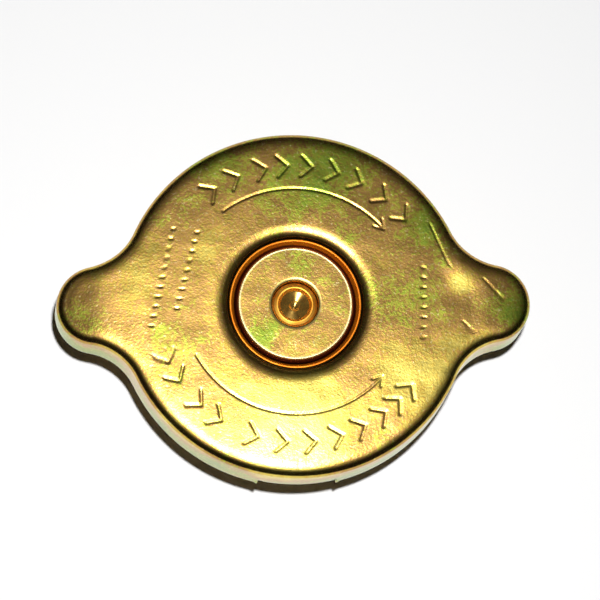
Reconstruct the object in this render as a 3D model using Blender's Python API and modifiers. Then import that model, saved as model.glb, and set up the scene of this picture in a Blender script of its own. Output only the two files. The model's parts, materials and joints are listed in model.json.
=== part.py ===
"""Pressure cap for a radiator's filler neck: a pressed crown with two ears, a riveted centre that
swivels in it, a spring diaphragm, and a spring-loaded pressure valve with a small vacuum valve
inside. Metres, +Z up.
The cap stands on the valve's retainer, with the axis on Z and the ears along X."""

import math

import bmesh
import bpy
from mathutils import Matrix, Vector

for old in list(bpy.data.objects):
    bpy.data.objects.remove(old, do_unlink=True)

# The filler neck that the cap fits
NECK_FLANGE_RADIUS = 0.028575
NECK_CAM_DEPTH = 0.0021
NECK_REACH = 0.0219

# Gaps between pieces that touch, round a piece that turns or slides, and past the end of a stroke
SEAT_GAP = 0.0003
RUNNING_GAP = 0.00025
STROKE_GAP = 0.0005

# How far the pressure valve lifts
PRESSURE_LIFT = 0.0045

# Crown: a pressing with a flat middle recess, a rim fillet, a skirt, two ears and two tabs
CROWN_SHEET = 0.0009
SKIRT_CLEARANCE = 0.0009
SKIRT_BELOW_TAB = 0.0007
SKIRT_FLARE = 0.00022
RIM_FILLET = 0.002
DOME_DROP = 0.00045
EAR_OFFSET = 0.0036
EAR_RADIUS = 0.0069
EAR_BLEND = 0.0105
EAR_DROP = 0.0008
EAR_SLOPE_START = 0.0255
CREASE_RADIUS = 0.0333
CREASE_SLOPE = 0.1
RECESS_RADIUS = 0.0117
RECESS_DEPTH = 0.0028
RECESS_LIP = 0.0017
RECESS_FOOT = 0.0007
TAB_WIDTH = 0.0118
TAB_REACH = 0.0034
TAB_BEND = 0.0012
TAB_CORNER = 0.0009
TAB_NOTCH = 0.0006

# Centre: friction ring, disc, rivet and washer
RING_SHEET = 0.0004
RING_SHOWING = 0.0018
RING_SEAT = 0.0016
RING_WALL = 0.0011
RING_BEND = 0.0004
DISC_SHEET = 0.0007
DISC_BELOW_CROWN = 0.0009
DISC_EDGE = 0.0005
DIMPLE_GAP = 0.00035
DIMPLE_SLOPE = 0.0001
DISH_WIDTH = 0.0004
DISH_DEPTH = 0.00022
RIVET_SHANK_RADIUS = 0.0029
RIVET_HEAD_RADIUS = 0.0039
RIVET_HEAD = 0.0009
RIVET_RIM = 0.00045
RIVET_BOWL_RADIUS = 0.0025
RIVET_BOWL_EDGE = 0.00075
RIVET_BOWL_DEPTH = 0.0011
RIVET_PIT_RADIUS = 0.00095
RIVET_PIT_DEPTH = 0.0018
WASHER_RADIUS = 0.0055
WASHER_THICKNESS = 0.0006

# Spring diaphragm
DIAPHRAGM_SHEET = 0.0004
DIAPHRAGM_DISH = 0.0003
DIAPHRAGM_RIM = 0.0045
DIAPHRAGM_INSIDE_FLANGE = 0.0016

# Bell, pressure spring and the cup that slides in the bell
PRESSURE_SPRING_RADIUS = 0.0100
PRESSURE_WIRE = 0.0018
CUP_SHEET = 0.0007
CUP_FLANGE = 0.0010
BELL_SHEET = 0.0007
BELL_SHOULDER = 0.0022
WINDOW_WIDTH = 0.0058
WINDOW_HEIGHT = 0.0046

# Backing plate, seal and retainer
SEAL_RADIUS = 0.0190
SEAL_THICKNESS = 0.0022
SEAL_PROUD = 0.0004
SEAL_EDGE = 0.0006
PLATE_INSIDE_SEAL = 0.0009
PLATE_SHEET = 0.0008
PLATE_BEAD = 0.0006
RETAINER_SHEET = 0.0008
RETAINER_GRIP = 0.0036
EYELET_BORE = 0.0046
EYELET_FLANGE = 0.0016

# Vacuum valve, its seal, spring and cap
VACUUM_DISC_RADIUS = 0.0074
VACUUM_DISC_THICKNESS = 0.0007
VACUUM_DISC_GAP = 0.0009
VACUUM_SEAL_THICKNESS = 0.0007
VACUUM_SEAL_INSIDE = 0.0005
STEM_RADIUS = 0.0012
STEM_HEAD_RADIUS = 0.0022
STEM_HEAD = 0.0006
STEM_HEADROOM = 0.0015
VACUUM_WIRE = 0.0005
VACUUM_CAP_SHEET = 0.0005
VACUUM_CAP_RIM = 0.0009

# Facets: columns of the crown's outline, steps of turned pieces, segments of small bends,
# and where the crown's rows lie between the recess and the rim
EAR_COLUMNS = 5
BLEND_COLUMNS = 3
BODY_COLUMNS = 7
TAB_COLUMNS = 2
OUTER_STEPS = 32
INNER_STEPS = 28
SMALL_STEPS = 20
BEND_SEGMENTS = 2
TOP_ROWS = (0, 0.4, 0.6, 0.78, 1)
bend_angles = [math.radians(degrees) for degrees in (30, 60, 90)]

# Heights of the valve, from the retainer's foot up
retainer_top = RETAINER_SHEET
seal_bottom = retainer_top + SEAT_GAP
seal_face = seal_bottom - SEAL_PROUD
seal_top = seal_bottom + SEAL_THICKNESS
plate_bottom = seal_top + SEAT_GAP
plate_top = plate_bottom + PLATE_SHEET
cup_floor_bottom = plate_top + SEAT_GAP
cup_floor_top = cup_floor_bottom + CUP_SHEET
eyelet_flange_bottom = cup_floor_top + SEAT_GAP
eyelet_flange_top = eyelet_flange_bottom + RETAINER_SHEET
bell_lip_bottom = plate_top + PRESSURE_LIFT + STROKE_GAP
bell_lip_top = bell_lip_bottom + BELL_SHEET
cup_flange_bottom = bell_lip_top + SEAT_GAP
cup_flange_top = cup_flange_bottom + CUP_SHEET
vacuum_seat = seal_top - RETAINER_SHEET
vacuum_seal_bottom = vacuum_seat - SEAT_GAP - VACUUM_SEAL_THICKNESS
vacuum_disc_top = vacuum_seal_bottom - SEAT_GAP

# Heights of the crown and the centre, down from the sealing rim of the neck
diaphragm_rim_bottom = seal_face + NECK_REACH
diaphragm_bottom = diaphragm_rim_bottom + DIAPHRAGM_DISH
diaphragm_top = diaphragm_bottom + DIAPHRAGM_SHEET
floor_bottom = diaphragm_top + SEAT_GAP
floor_top = floor_bottom + CROWN_SHEET
crown_top = floor_top + RECESS_DEPTH
tab_top = diaphragm_rim_bottom - NECK_CAM_DEPTH
tab_bottom = tab_top - CROWN_SHEET
skirt_bottom = tab_bottom - SKIRT_BELOW_TAB
ring_bottom = floor_top + SEAT_GAP
ring_top = ring_bottom + RING_SHEET
disc_edge_bottom = ring_top + SEAT_GAP
disc_top = crown_top - DISC_BELOW_CROWN
dimple_floor = diaphragm_top + SEAT_GAP + DISC_SHEET
bell_top = diaphragm_bottom - SEAT_GAP
bell_ceiling = bell_top - BELL_SHEET
washer_top = bell_ceiling - SEAT_GAP
washer_bottom = washer_top - WASHER_THICKNESS
rivet_foot_top = washer_bottom - SEAT_GAP
rivet_foot_bottom = rivet_foot_top - RIVET_HEAD
stem_top = rivet_foot_bottom - PRESSURE_LIFT - STEM_HEADROOM
vacuum_cap_top = stem_top - STEM_HEAD - SEAT_GAP
vacuum_cap_bottom = vacuum_cap_top - VACUUM_CAP_SHEET

# Radii that follow from the neck, the springs and the vacuum valve
body_radius = NECK_FLANGE_RADIUS + SKIRT_CLEARANCE + CROWN_SHEET
ear_centre = body_radius + EAR_OFFSET
disc_radius = RECESS_RADIUS - RING_SHOWING
dimple_radius = RIVET_HEAD_RADIUS + DIMPLE_GAP
dimple_mouth = dimple_radius + DIMPLE_SLOPE
dimple_outside = dimple_mouth + DISC_SHEET
crown_hole = dimple_outside + RUNNING_GAP
shank_hole = RIVET_SHANK_RADIUS + SEAT_GAP
rivet_mouth = RIVET_HEAD_RADIUS - 2 * RIVET_RIM
diaphragm_radius = NECK_FLANGE_RADIUS - DIAPHRAGM_INSIDE_FLANGE
cup_inside = PRESSURE_SPRING_RADIUS + PRESSURE_WIRE / 2 + SEAT_GAP
cup_outside = cup_inside + CUP_SHEET
bell_lip_inside = cup_outside + RUNNING_GAP
cup_flange_radius = bell_lip_inside + CUP_FLANGE
bell_inside = cup_flange_radius + RUNNING_GAP
bell_outside = bell_inside + BELL_SHEET
retainer_step_inside = VACUUM_DISC_RADIUS + VACUUM_DISC_GAP
retainer_step_outside = retainer_step_inside + RETAINER_SHEET
seal_hole = retainer_step_outside + SEAT_GAP
retainer_radius = seal_hole + RETAINER_GRIP
eyelet_outside = EYELET_BORE + RETAINER_SHEET
eyelet_hole = eyelet_outside + SEAT_GAP
eyelet_flange_radius = eyelet_outside + EYELET_FLANGE
vacuum_spring_radius = (EYELET_BORE + eyelet_flange_radius) / 2
vacuum_cap_inside = vacuum_spring_radius + VACUUM_WIRE / 2 + SEAT_GAP

parts = bpy.data.collections.new("radiator_cap")
cutters = bpy.data.collections.new("cutters")
bpy.context.scene.collection.children.link(parts)
bpy.context.scene.collection.children.link(cutters)


def finish(name, colour, metallic, roughness):
    """A plain material in linear colour."""
    material = bpy.data.materials.new(name)
    material.use_nodes = True
    shader = material.node_tree.nodes["Principled BSDF"]
    shader.inputs["Base Color"].default_value = (*colour, 1)
    shader.inputs["Metallic"].default_value = metallic
    shader.inputs["Roughness"].default_value = roughness
    material.diffuse_color = (*colour, 1)
    return material


yellow_zinc = finish("yellow_zinc", (0.48, 0.38, 0.12), 1, 0.34)
copper = finish("copper", (0.70, 0.20, 0.05), 1, 0.35)
rivet_brass = finish("rivet_brass", (0.78, 0.48, 0.14), 1, 0.28)
spring_bronze = finish("spring_bronze", (0.60, 0.36, 0.14), 1, 0.3)
zinc_steel = finish("zinc_steel", (0.56, 0.57, 0.58), 1, 0.35)
spring_steel = finish("spring_steel", (0.32, 0.32, 0.33), 1, 0.4)
black_rubber = finish("black_rubber", (0.02, 0.02, 0.02), 0, 0.7)


def add(name, mesh, material):
    obj = bpy.data.objects.new(name, mesh)
    parts.objects.link(obj)
    mesh.materials.append(material)
    return obj


def smooth(obj, angle=35):
    obj.data.shade_smooth()
    obj.data.set_sharp_from_angle(angle=math.radians(angle))


def rounded(corners, closed):
    """(radius, height) points of a section, each corner given as (radius, height, fillet)."""
    points = []
    for i, (x, z, fillet) in enumerate(corners):
        here = Vector((x, z))
        end = not closed and i in (0, len(corners) - 1)
        if fillet == 0 or end:
            points.append(here)
            continue
        before = Vector(corners[i - 1][:2]) - here
        after = Vector(corners[(i + 1) % len(corners)][:2]) - here
        half = before.angle(after) / 2
        cut = min(fillet / math.tan(half), 0.49 * before.length, 0.49 * after.length)
        radius = cut * math.tan(half)
        start = here + before.normalized() * cut
        centre = here + (before.normalized() + after.normalized()).normalized() * radius / math.sin(half)
        turn = (start - centre).angle_signed(here + after.normalized() * cut - centre)
        for k in range(BEND_SEGMENTS + 1):
            arm = Matrix.Rotation(-turn * k / BEND_SEGMENTS, 2) @ (start - centre)
            points.append(centre + arm)
    return points


def turned(name, corners, steps, material, closed=True):
    """A section turned round the Z axis. A closed one runs down its outer side; an open one is a skin."""
    points = rounded(corners, closed)
    mesh = bpy.data.meshes.new(name)
    edges = [(i, i + 1) for i in range(len(points) - 1)]
    if closed:
        edges.append((len(points) - 1, 0))
    mesh.from_pydata([(p.x, 0, p.y) for p in points], edges, [])
    obj = add(name, mesh, material)
    screw = obj.modifiers.new("turn", "SCREW")
    screw.axis = "Z"
    screw.steps = steps
    screw.render_steps = steps
    screw.use_merge_vertices = True
    screw.merge_threshold = 0.00001
    screw.use_smooth_shade = False
    return obj


def add_sheet(obj, sheet):
    """Gives a skin its thickness, behind its outer face."""
    wall = obj.modifiers.new("sheet", "SOLIDIFY")
    wall.thickness = sheet
    wall.offset = -1
    wall.use_even_offset = True


def pressed(name, corners, steps, sheet, material):
    """A turned sheet: the corners run along its outer face, outward over the top and down the outside."""
    obj = turned(name, corners, steps, material, closed=False)
    add_sheet(obj, sheet)
    return obj


def coil(name, radius, wire, low, high, turns, dead_turns, points_per_turn, material):
    """A compression spring between two heights, with closed end turns."""
    bottom = low + wire / 2
    rise = high - low - wire
    dead_pitch = wire * 1.06
    active_pitch = (rise - 2 * dead_turns * dead_pitch) / (turns - 2 * dead_turns)
    count = round(turns * points_per_turn)
    spline_points = []
    for i in range(count + 1):
        turn = turns * i / count
        height = dead_pitch * min(turn, dead_turns)
        height += active_pitch * min(max(turn - dead_turns, 0), turns - 2 * dead_turns)
        height += dead_pitch * max(turn - (turns - dead_turns), 0)
        angle = 2 * math.pi * turn
        spline_points.append((radius * math.cos(angle), radius * math.sin(angle), bottom + height, 1))
    curve = bpy.data.curves.new(name, "CURVE")
    curve.dimensions = "3D"
    curve.bevel_depth = wire / 2
    curve.bevel_resolution = 2
    curve.use_fill_caps = True
    spline = curve.splines.new("POLY")
    spline.points.add(count)
    for point, place in zip(spline.points, spline_points):
        point.co = place
    return add(name, curve, material)


# Crown

def arc(centre, radius, start, end, steps, outward=1):
    """(point, outward normal) pairs round part of a circle, its end left out."""
    pairs = []
    for k in range(steps):
        angle = start + (end - start) * k / steps
        away = Vector((math.cos(angle), math.sin(angle)))
        pairs.append((centre + away * radius, away * outward))
    return pairs


def crown_outline():
    """The crown from above, anticlockwise from +X: (point, outward normal, columns from a tab's middle)."""
    body = body_radius + EAR_BLEND
    across = (body ** 2 - (EAR_RADIUS + EAR_BLEND) ** 2 + ear_centre ** 2) / (2 * ear_centre)
    up = math.sqrt(body ** 2 - across ** 2)
    ear_end = math.atan2(up, across - ear_centre)
    body_start = math.atan2(up, across)
    inner_radius = body_radius - CROWN_SHEET
    tab_start = math.pi / 2 - math.asin(TAB_WIDTH / 2 / inner_radius)
    notch_start = tab_start - TAB_NOTCH / inner_radius
    ear = Vector((ear_centre, 0))
    blend = Vector((across, up))
    axis = Vector((0, 0))
    quarter = [
        *arc(ear, EAR_RADIUS, 0, ear_end, EAR_COLUMNS),
        *arc(blend, EAR_BLEND, ear_end + math.pi, body_start + math.pi, BLEND_COLUMNS, -1),
        *arc(axis, body_radius, body_start, notch_start, BODY_COLUMNS),
        *arc(axis, body_radius, notch_start, tab_start, 1),
        *arc(axis, body_radius, tab_start, math.pi / 2, TAB_COLUMNS),
        (Vector((0, body_radius)), Vector((0, 1))),
    ]
    quarter = [(point, normal, len(quarter) - 1 - i) for i, (point, normal) in enumerate(quarter)]
    left = [(Vector((-p.x, p.y)), Vector((-n.x, n.y)), away) for p, n, away in quarter[-2:0:-1]]
    half = quarter + left
    return half + [(-point, -normal, away) for point, normal, away in half]


def crown_height(point):
    """The top face's height: a slight dome, a slope down the ears, and a crease across the right ear."""
    distance = point.length
    lip = RECESS_RADIUS + RECESS_LIP
    dome = max(distance - lip, 0) / (body_radius - lip)
    slope = max(distance - EAR_SLOPE_START, 0) / (ear_centre + EAR_RADIUS - EAR_SLOPE_START)
    crease = max(distance - CREASE_RADIUS, 0) if point.x > 0 else 0
    return crown_top - DOME_DROP * min(dome, 1) ** 2 - EAR_DROP * slope ** 2 - CREASE_SLOPE * crease


def crown_column(point, normal, angle):
    """The points of one column, from the hole in the recess floor out over the rim and down the skirt."""
    recess = rounded(
        [
            (crown_hole, floor_top, 0),
            (RECESS_RADIUS, floor_top, RECESS_FOOT),
            (RECESS_RADIUS, crown_top, RECESS_LIP),
            (RECESS_RADIUS + 2 * RECESS_LIP, crown_top, 0),
        ],
        closed=False,
    )
    away = Vector((math.cos(angle), math.sin(angle)))
    places = [(*(away * p.x), p.y) for p in recess[:-1]]
    start = away * recess[-1].x
    inset = point - normal * RIM_FILLET
    for share in TOP_ROWS:
        here = start.lerp(inset, share)
        places.append((*here, crown_height(here)))
    skirt_top = crown_height(inset) - RIM_FILLET
    for turn in bend_angles:
        here = inset + normal * RIM_FILLET * math.sin(turn)
        places.append((*here, skirt_top + RIM_FILLET * math.cos(turn)))
    for height in (tab_bottom + TAB_BEND, skirt_bottom):
        flare = SKIRT_FLARE * (skirt_top - height) / (skirt_top - skirt_bottom)
        places.append((*(point + normal * flare), height))
    return places


def tab_column(point, normal, reach):
    """The points of one column of a tab, round its bend and inwards."""
    flared = point + normal * SKIRT_FLARE
    places = []
    for turn in bend_angles:
        here = flared - normal * TAB_BEND * (1 - math.cos(turn))
        places.append((*here, tab_bottom + TAB_BEND * (1 - math.sin(turn))))
    for share in (0.12, 1):
        places.append((*(point - normal * (TAB_BEND + share * (reach - TAB_BEND))), tab_bottom))
    return places


def join_columns(shell, left, right):
    for k in range(len(left) - 1):
        shell.faces.new((left[k], left[k + 1], right[k + 1], right[k]))


def build_crown():
    """A loft from the round hole to the eared outline, with a tab at each side, made into a sheet."""
    shell = bmesh.new()
    outline = crown_outline()
    columns = []
    tabs = []
    for i, (point, normal, from_tab) in enumerate(outline):
        column = crown_column(point, normal, 2 * math.pi * i / len(outline))
        columns.append([shell.verts.new(place) for place in column])
        corner = TAB_CORNER if from_tab == TAB_COLUMNS else 0
        reach = CROWN_SHEET + TAB_REACH - corner
        tab = tab_column(point, normal, reach) if from_tab <= TAB_COLUMNS else []
        tabs.append([shell.verts.new(place) for place in tab])
    for i, left in enumerate(columns):
        j = (i + 1) % len(columns)
        furthest = max(outline[i][2], outline[j][2])
        over_tab = furthest <= TAB_COLUMNS
        over_notch = furthest == TAB_COLUMNS + 1
        skirt_end = -1 if over_tab or over_notch else None
        join_columns(shell, left[:skirt_end], columns[j][:skirt_end])
        if over_tab:
            join_columns(shell, [left[-2], *tabs[i]], [columns[j][-2], *tabs[j]])
    loose = [vert for vert in shell.verts if not vert.link_faces]
    bmesh.ops.delete(shell, geom=loose, context="VERTS")
    mesh = bpy.data.meshes.new("crown")
    shell.to_mesh(mesh)
    shell.free()
    obj = add("crown", mesh, yellow_zinc)
    add_sheet(obj, CROWN_SHEET)
    smooth(obj, 30)


build_crown()

# Friction ring: flat under the disc's edge, with a wall that stands up along the recess
ring_inside = disc_radius - RING_SEAT
ring_wall_inside = RECESS_RADIUS - SEAT_GAP - RING_SHEET
pressed(
    "friction_ring",
    [
        (ring_inside, ring_top, 0),
        (ring_wall_inside, ring_top, RING_BEND),
        (ring_wall_inside, ring_top + RING_WALL, 0),
    ],
    OUTER_STEPS,
    RING_SHEET,
    copper,
)

# Centre disc: a flat disc with a turned-down edge and a deep dimple for the rivet's head. The dimple
# goes through the crown's hole, and the crown turns on it. A shallow dish is coined round its mouth.
turned(
    "centre_disc",
    [
        (shank_hole, dimple_floor, 0),
        (dimple_radius, dimple_floor, DISC_SHEET / 3),
        (dimple_mouth, disc_top - DISH_DEPTH, 0),
        (dimple_mouth + DISH_WIDTH, disc_top, 0),
        (disc_radius, disc_top, DISC_EDGE),
        (disc_radius, disc_edge_bottom, 0),
        (disc_radius - DISC_SHEET, disc_edge_bottom, 0),
        (disc_radius - DISC_SHEET, disc_top - DISC_SHEET, DISC_EDGE),
        (dimple_outside, disc_top - DISC_SHEET, DISC_SHEET / 3),
        (dimple_outside, dimple_floor - DISC_SHEET, DISC_SHEET),
        (shank_hole, dimple_floor - DISC_SHEET, 0),
    ],
    OUTER_STEPS,
    yellow_zinc,
)

# Centre rivet: a head spread into a shallow bowl with a rolled rim, a shank and a flat foot
rivet_head_bottom = dimple_floor + SEAT_GAP
rivet_top = rivet_head_bottom + RIVET_HEAD
turned(
    "centre_rivet",
    [
        (rivet_mouth, rivet_top, RIVET_RIM),
        (RIVET_HEAD_RADIUS, rivet_top, RIVET_RIM),
        (RIVET_HEAD_RADIUS, rivet_head_bottom, 0),
        (RIVET_SHANK_RADIUS, rivet_head_bottom, 0),
        (RIVET_SHANK_RADIUS, rivet_foot_top, 0),
        (RIVET_HEAD_RADIUS, rivet_foot_top, 0),
        (RIVET_HEAD_RADIUS, rivet_foot_bottom, 0.4 * RIVET_HEAD),
        (0, rivet_foot_bottom, 0),
        (0, rivet_top - RIVET_PIT_DEPTH, 0),
        (RIVET_PIT_RADIUS, rivet_top - RIVET_BOWL_DEPTH, 0),
        (RIVET_BOWL_RADIUS, rivet_top - RIVET_BOWL_EDGE, 0),
    ],
    SMALL_STEPS,
    rivet_brass,
)

# Spring diaphragm: a thin disc whose rim is dished down on to the neck
turned(
    "spring_diaphragm",
    [
        (shank_hole, diaphragm_top, 0),
        (diaphragm_radius - 2 * DIAPHRAGM_RIM, diaphragm_top, 0),
        (diaphragm_radius - DIAPHRAGM_RIM, diaphragm_top - DIAPHRAGM_DISH, 0),
        (diaphragm_radius, diaphragm_top - DIAPHRAGM_DISH, 0),
        (diaphragm_radius, diaphragm_rim_bottom, 0),
        (diaphragm_radius - DIAPHRAGM_RIM, diaphragm_rim_bottom, 0),
        (diaphragm_radius - 2 * DIAPHRAGM_RIM, diaphragm_bottom, 0),
        (shank_hole, diaphragm_bottom, 0),
    ],
    OUTER_STEPS,
    spring_bronze,
)

# Bell: a deep cup, mouth down, whose lip is rolled in under the valve cup's flange
bell = pressed(
    "valve_bell",
    [
        (shank_hole, bell_top, 0),
        (bell_outside, bell_top, BELL_SHOULDER),
        (bell_outside, bell_lip_bottom, BELL_SHEET),
        (bell_lip_inside, bell_lip_bottom, 0),
    ],
    INNER_STEPS,
    BELL_SHEET,
    zinc_steel,
)
for angle in (0, 60, 120):
    bpy.ops.mesh.primitive_cube_add(size=1)
    window = bpy.context.object
    window.name = f"bell_window_{angle}"
    window.location.z = (bell_lip_top + bell_top) / 2
    window.rotation_euler.z = math.radians(angle)
    window.scale = (3 * bell_outside, WINDOW_WIDTH, WINDOW_HEIGHT)
    window.hide_render = True
    window.display_type = "WIRE"
    for collection in window.users_collection:
        collection.objects.unlink(window)
    cutters.objects.link(window)
    cut = bell.modifiers.new(window.name, "BOOLEAN")
    cut.operation = "DIFFERENCE"
    cut.object = window

turned(
    "rivet_washer",
    [
        (shank_hole, washer_top, 0),
        (WASHER_RADIUS, washer_top, 0),
        (WASHER_RADIUS, washer_bottom, 0),
        (shank_hole, washer_bottom, 0),
    ],
    SMALL_STEPS,
    zinc_steel,
)

coil(
    "pressure_spring",
    PRESSURE_SPRING_RADIUS,
    PRESSURE_WIRE,
    cup_floor_top + SEAT_GAP,
    bell_ceiling - SEAT_GAP,
    turns=4.5,
    dead_turns=0.75,
    points_per_turn=14,
    material=spring_steel,
)

# Valve cup: slides in the bell's lip, its flange inside the bell
pressed(
    "valve_cup",
    [
        (cup_flange_radius, cup_flange_top, 0),
        (cup_inside, cup_flange_top, CUP_SHEET / 2),
        (cup_inside, cup_floor_top, CUP_SHEET),
        (eyelet_hole, cup_floor_top, 0),
    ][::-1],
    INNER_STEPS,
    CUP_SHEET,
    zinc_steel,
)

# Backing plate: a disc with a raised bead near its edge
plate_radius = SEAL_RADIUS - PLATE_INSIDE_SEAL
bead = plate_radius - 3 * PLATE_SHEET
pressed(
    "backing_plate",
    [
        (eyelet_hole, plate_top, 0),
        (bead - 2 * PLATE_BEAD, plate_top, 0),
        (bead, plate_top + PLATE_BEAD, PLATE_SHEET),
        (bead + 2 * PLATE_BEAD, plate_top, 0),
        (plate_radius, plate_top, 0),
    ],
    INNER_STEPS,
    PLATE_SHEET,
    zinc_steel,
)

# Seal: a rubber ring whose free face stands a little proud round the retainer's edge
turned(
    "pressure_seal",
    [
        (seal_hole, seal_top, 0),
        (SEAL_RADIUS, seal_top, 0),
        (SEAL_RADIUS, seal_face, SEAL_EDGE),
        (retainer_radius + SEAT_GAP, seal_face, 0),
        (retainer_radius + SEAT_GAP, seal_bottom, 0),
        (seal_hole, seal_bottom, 0),
    ],
    INNER_STEPS,
    black_rubber,
)

# Seal retainer: grips the seal from below, steps up through it, and ends as an eyelet rolled over
# the cup's floor
turned(
    "seal_retainer",
    [
        (EYELET_BORE, eyelet_flange_top, 0),
        (eyelet_flange_radius, eyelet_flange_top, RETAINER_SHEET / 2),
        (eyelet_flange_radius, eyelet_flange_bottom, 0),
        (eyelet_outside, eyelet_flange_bottom, 0),
        (eyelet_outside, seal_top, 0),
        (retainer_step_outside, seal_top, RETAINER_SHEET / 2),
        (retainer_step_outside, retainer_top, 0),
        (retainer_radius, retainer_top, 0),
        (retainer_radius, 0, 0),
        (retainer_step_inside, 0, 0),
        (retainer_step_inside, vacuum_seat, 0),
        (EYELET_BORE, vacuum_seat, 0),
    ],
    INNER_STEPS,
    zinc_steel,
)

stem_hole = STEM_RADIUS + SEAT_GAP
vacuum_seal_radius = VACUUM_DISC_RADIUS - VACUUM_SEAL_INSIDE
turned(
    "vacuum_seal",
    [
        (stem_hole, vacuum_seal_bottom + VACUUM_SEAL_THICKNESS, 0),
        (vacuum_seal_radius, vacuum_seal_bottom + VACUUM_SEAL_THICKNESS, 0),
        (vacuum_seal_radius, vacuum_seal_bottom, 0),
        (stem_hole, vacuum_seal_bottom, 0),
    ],
    SMALL_STEPS,
    black_rubber,
)

# Vacuum valve: a turned disc and stem, the stem's end headed over the spring cap
turned(
    "vacuum_valve",
    [
        (0, stem_top, 0),
        (STEM_HEAD_RADIUS, stem_top, STEM_HEAD / 2),
        (STEM_HEAD_RADIUS, stem_top - STEM_HEAD, 0),
        (STEM_RADIUS, stem_top - STEM_HEAD, 0),
        (STEM_RADIUS, vacuum_disc_top, 0),
        (VACUUM_DISC_RADIUS, vacuum_disc_top, 0),
        (VACUUM_DISC_RADIUS, vacuum_disc_top - VACUUM_DISC_THICKNESS, 0.3 * VACUUM_DISC_THICKNESS),
        (0, vacuum_disc_top - VACUUM_DISC_THICKNESS, 0),
    ],
    SMALL_STEPS,
    rivet_brass,
)

coil(
    "vacuum_spring",
    vacuum_spring_radius,
    VACUUM_WIRE,
    eyelet_flange_top + SEAT_GAP,
    vacuum_cap_bottom - SEAT_GAP,
    turns=4,
    dead_turns=0.75,
    points_per_turn=10,
    material=spring_steel,
)

pressed(
    "vacuum_spring_cap",
    [
        (stem_hole, vacuum_cap_top, 0),
        (vacuum_cap_inside + VACUUM_CAP_SHEET, vacuum_cap_top, VACUUM_CAP_SHEET),
        (vacuum_cap_inside + VACUUM_CAP_SHEET, vacuum_cap_bottom - VACUUM_CAP_RIM, 0),
    ],
    SMALL_STEPS,
    VACUUM_CAP_SHEET,
    zinc_steel,
)

for obj in parts.objects:
    if obj.type == "MESH" and obj.name != "crown":
        smooth(obj)
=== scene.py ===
"""The looks of a pressure cap for a radiator's filler neck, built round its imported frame.
Metres, +Z up the cap's axis, +X along the ears. The cap stands on the foot of its valve."""

import json
import math

import bmesh
import bpy
import numpy as np
from mathutils import Matrix, Vector

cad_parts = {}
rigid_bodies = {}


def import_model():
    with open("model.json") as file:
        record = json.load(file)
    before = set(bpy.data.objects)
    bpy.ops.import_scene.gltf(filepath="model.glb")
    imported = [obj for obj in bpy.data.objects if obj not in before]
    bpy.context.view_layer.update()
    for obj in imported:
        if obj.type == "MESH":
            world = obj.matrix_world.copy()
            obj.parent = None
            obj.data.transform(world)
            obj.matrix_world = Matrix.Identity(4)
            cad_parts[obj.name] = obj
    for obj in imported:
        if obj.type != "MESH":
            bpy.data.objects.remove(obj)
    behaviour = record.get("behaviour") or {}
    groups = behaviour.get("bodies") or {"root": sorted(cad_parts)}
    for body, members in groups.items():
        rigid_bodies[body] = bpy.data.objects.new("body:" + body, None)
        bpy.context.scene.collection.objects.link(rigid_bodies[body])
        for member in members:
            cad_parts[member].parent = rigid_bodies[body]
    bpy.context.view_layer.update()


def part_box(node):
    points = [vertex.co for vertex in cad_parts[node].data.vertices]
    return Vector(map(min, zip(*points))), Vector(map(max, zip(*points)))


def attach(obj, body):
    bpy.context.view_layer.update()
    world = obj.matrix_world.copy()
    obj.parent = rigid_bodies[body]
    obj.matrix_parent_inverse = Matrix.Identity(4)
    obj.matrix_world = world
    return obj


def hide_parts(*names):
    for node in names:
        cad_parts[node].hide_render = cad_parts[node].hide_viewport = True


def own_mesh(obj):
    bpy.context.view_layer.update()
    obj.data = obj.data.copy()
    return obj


for old in list(bpy.data.objects):
    bpy.data.objects.remove(old, do_unlink=True)

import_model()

# Camera: a long lens well above the cap and a little to the near left, rolled until the ears
# lie level in the picture. It aims at the middle of the crown's top.
CAMERA_DISTANCE = 0.45
CAMERA_LEAN = math.radians(14.5)
CAMERA_TURN = math.radians(-21.6)
CAMERA_ROLL = math.radians(20.7)
PICTURE_PIXELS = 600
PIXELS_PER_METRE = 5845
CROWN_MIDDLE_PIXEL = (296.0, 301.9)
NEAR_CLIP = 0.01

crown_low, crown_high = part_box("crown")
crown_middle = Vector((0, 0, crown_high.z))
back = Matrix.Rotation(CAMERA_TURN, 3, "Z") @ Vector((0, -math.sin(CAMERA_LEAN), math.cos(CAMERA_LEAN)))
level = Vector((0, 0, 1)).cross(back).normalized()
right = Matrix.Rotation(CAMERA_ROLL, 3, back) @ level
up = back.cross(right)
lens = bpy.data.cameras.new("photograph")
camera = bpy.data.objects.new("photograph", lens)
bpy.context.scene.collection.objects.link(camera)
bpy.context.scene.camera = camera
camera.matrix_world = (
    Matrix.Translation(crown_middle + back * CAMERA_DISTANCE)
    @ Matrix((right, up, back)).transposed().to_4x4()
)
lens.lens = lens.sensor_width * PIXELS_PER_METRE * CAMERA_DISTANCE / PICTURE_PIXELS
lens.shift_x = 0.5 - CROWN_MIDDLE_PIXEL[0] / PICTURE_PIXELS
lens.shift_y = CROWN_MIDDLE_PIXEL[1] / PICTURE_PIXELS - 0.5
lens.clip_start = NEAR_CLIP

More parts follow.
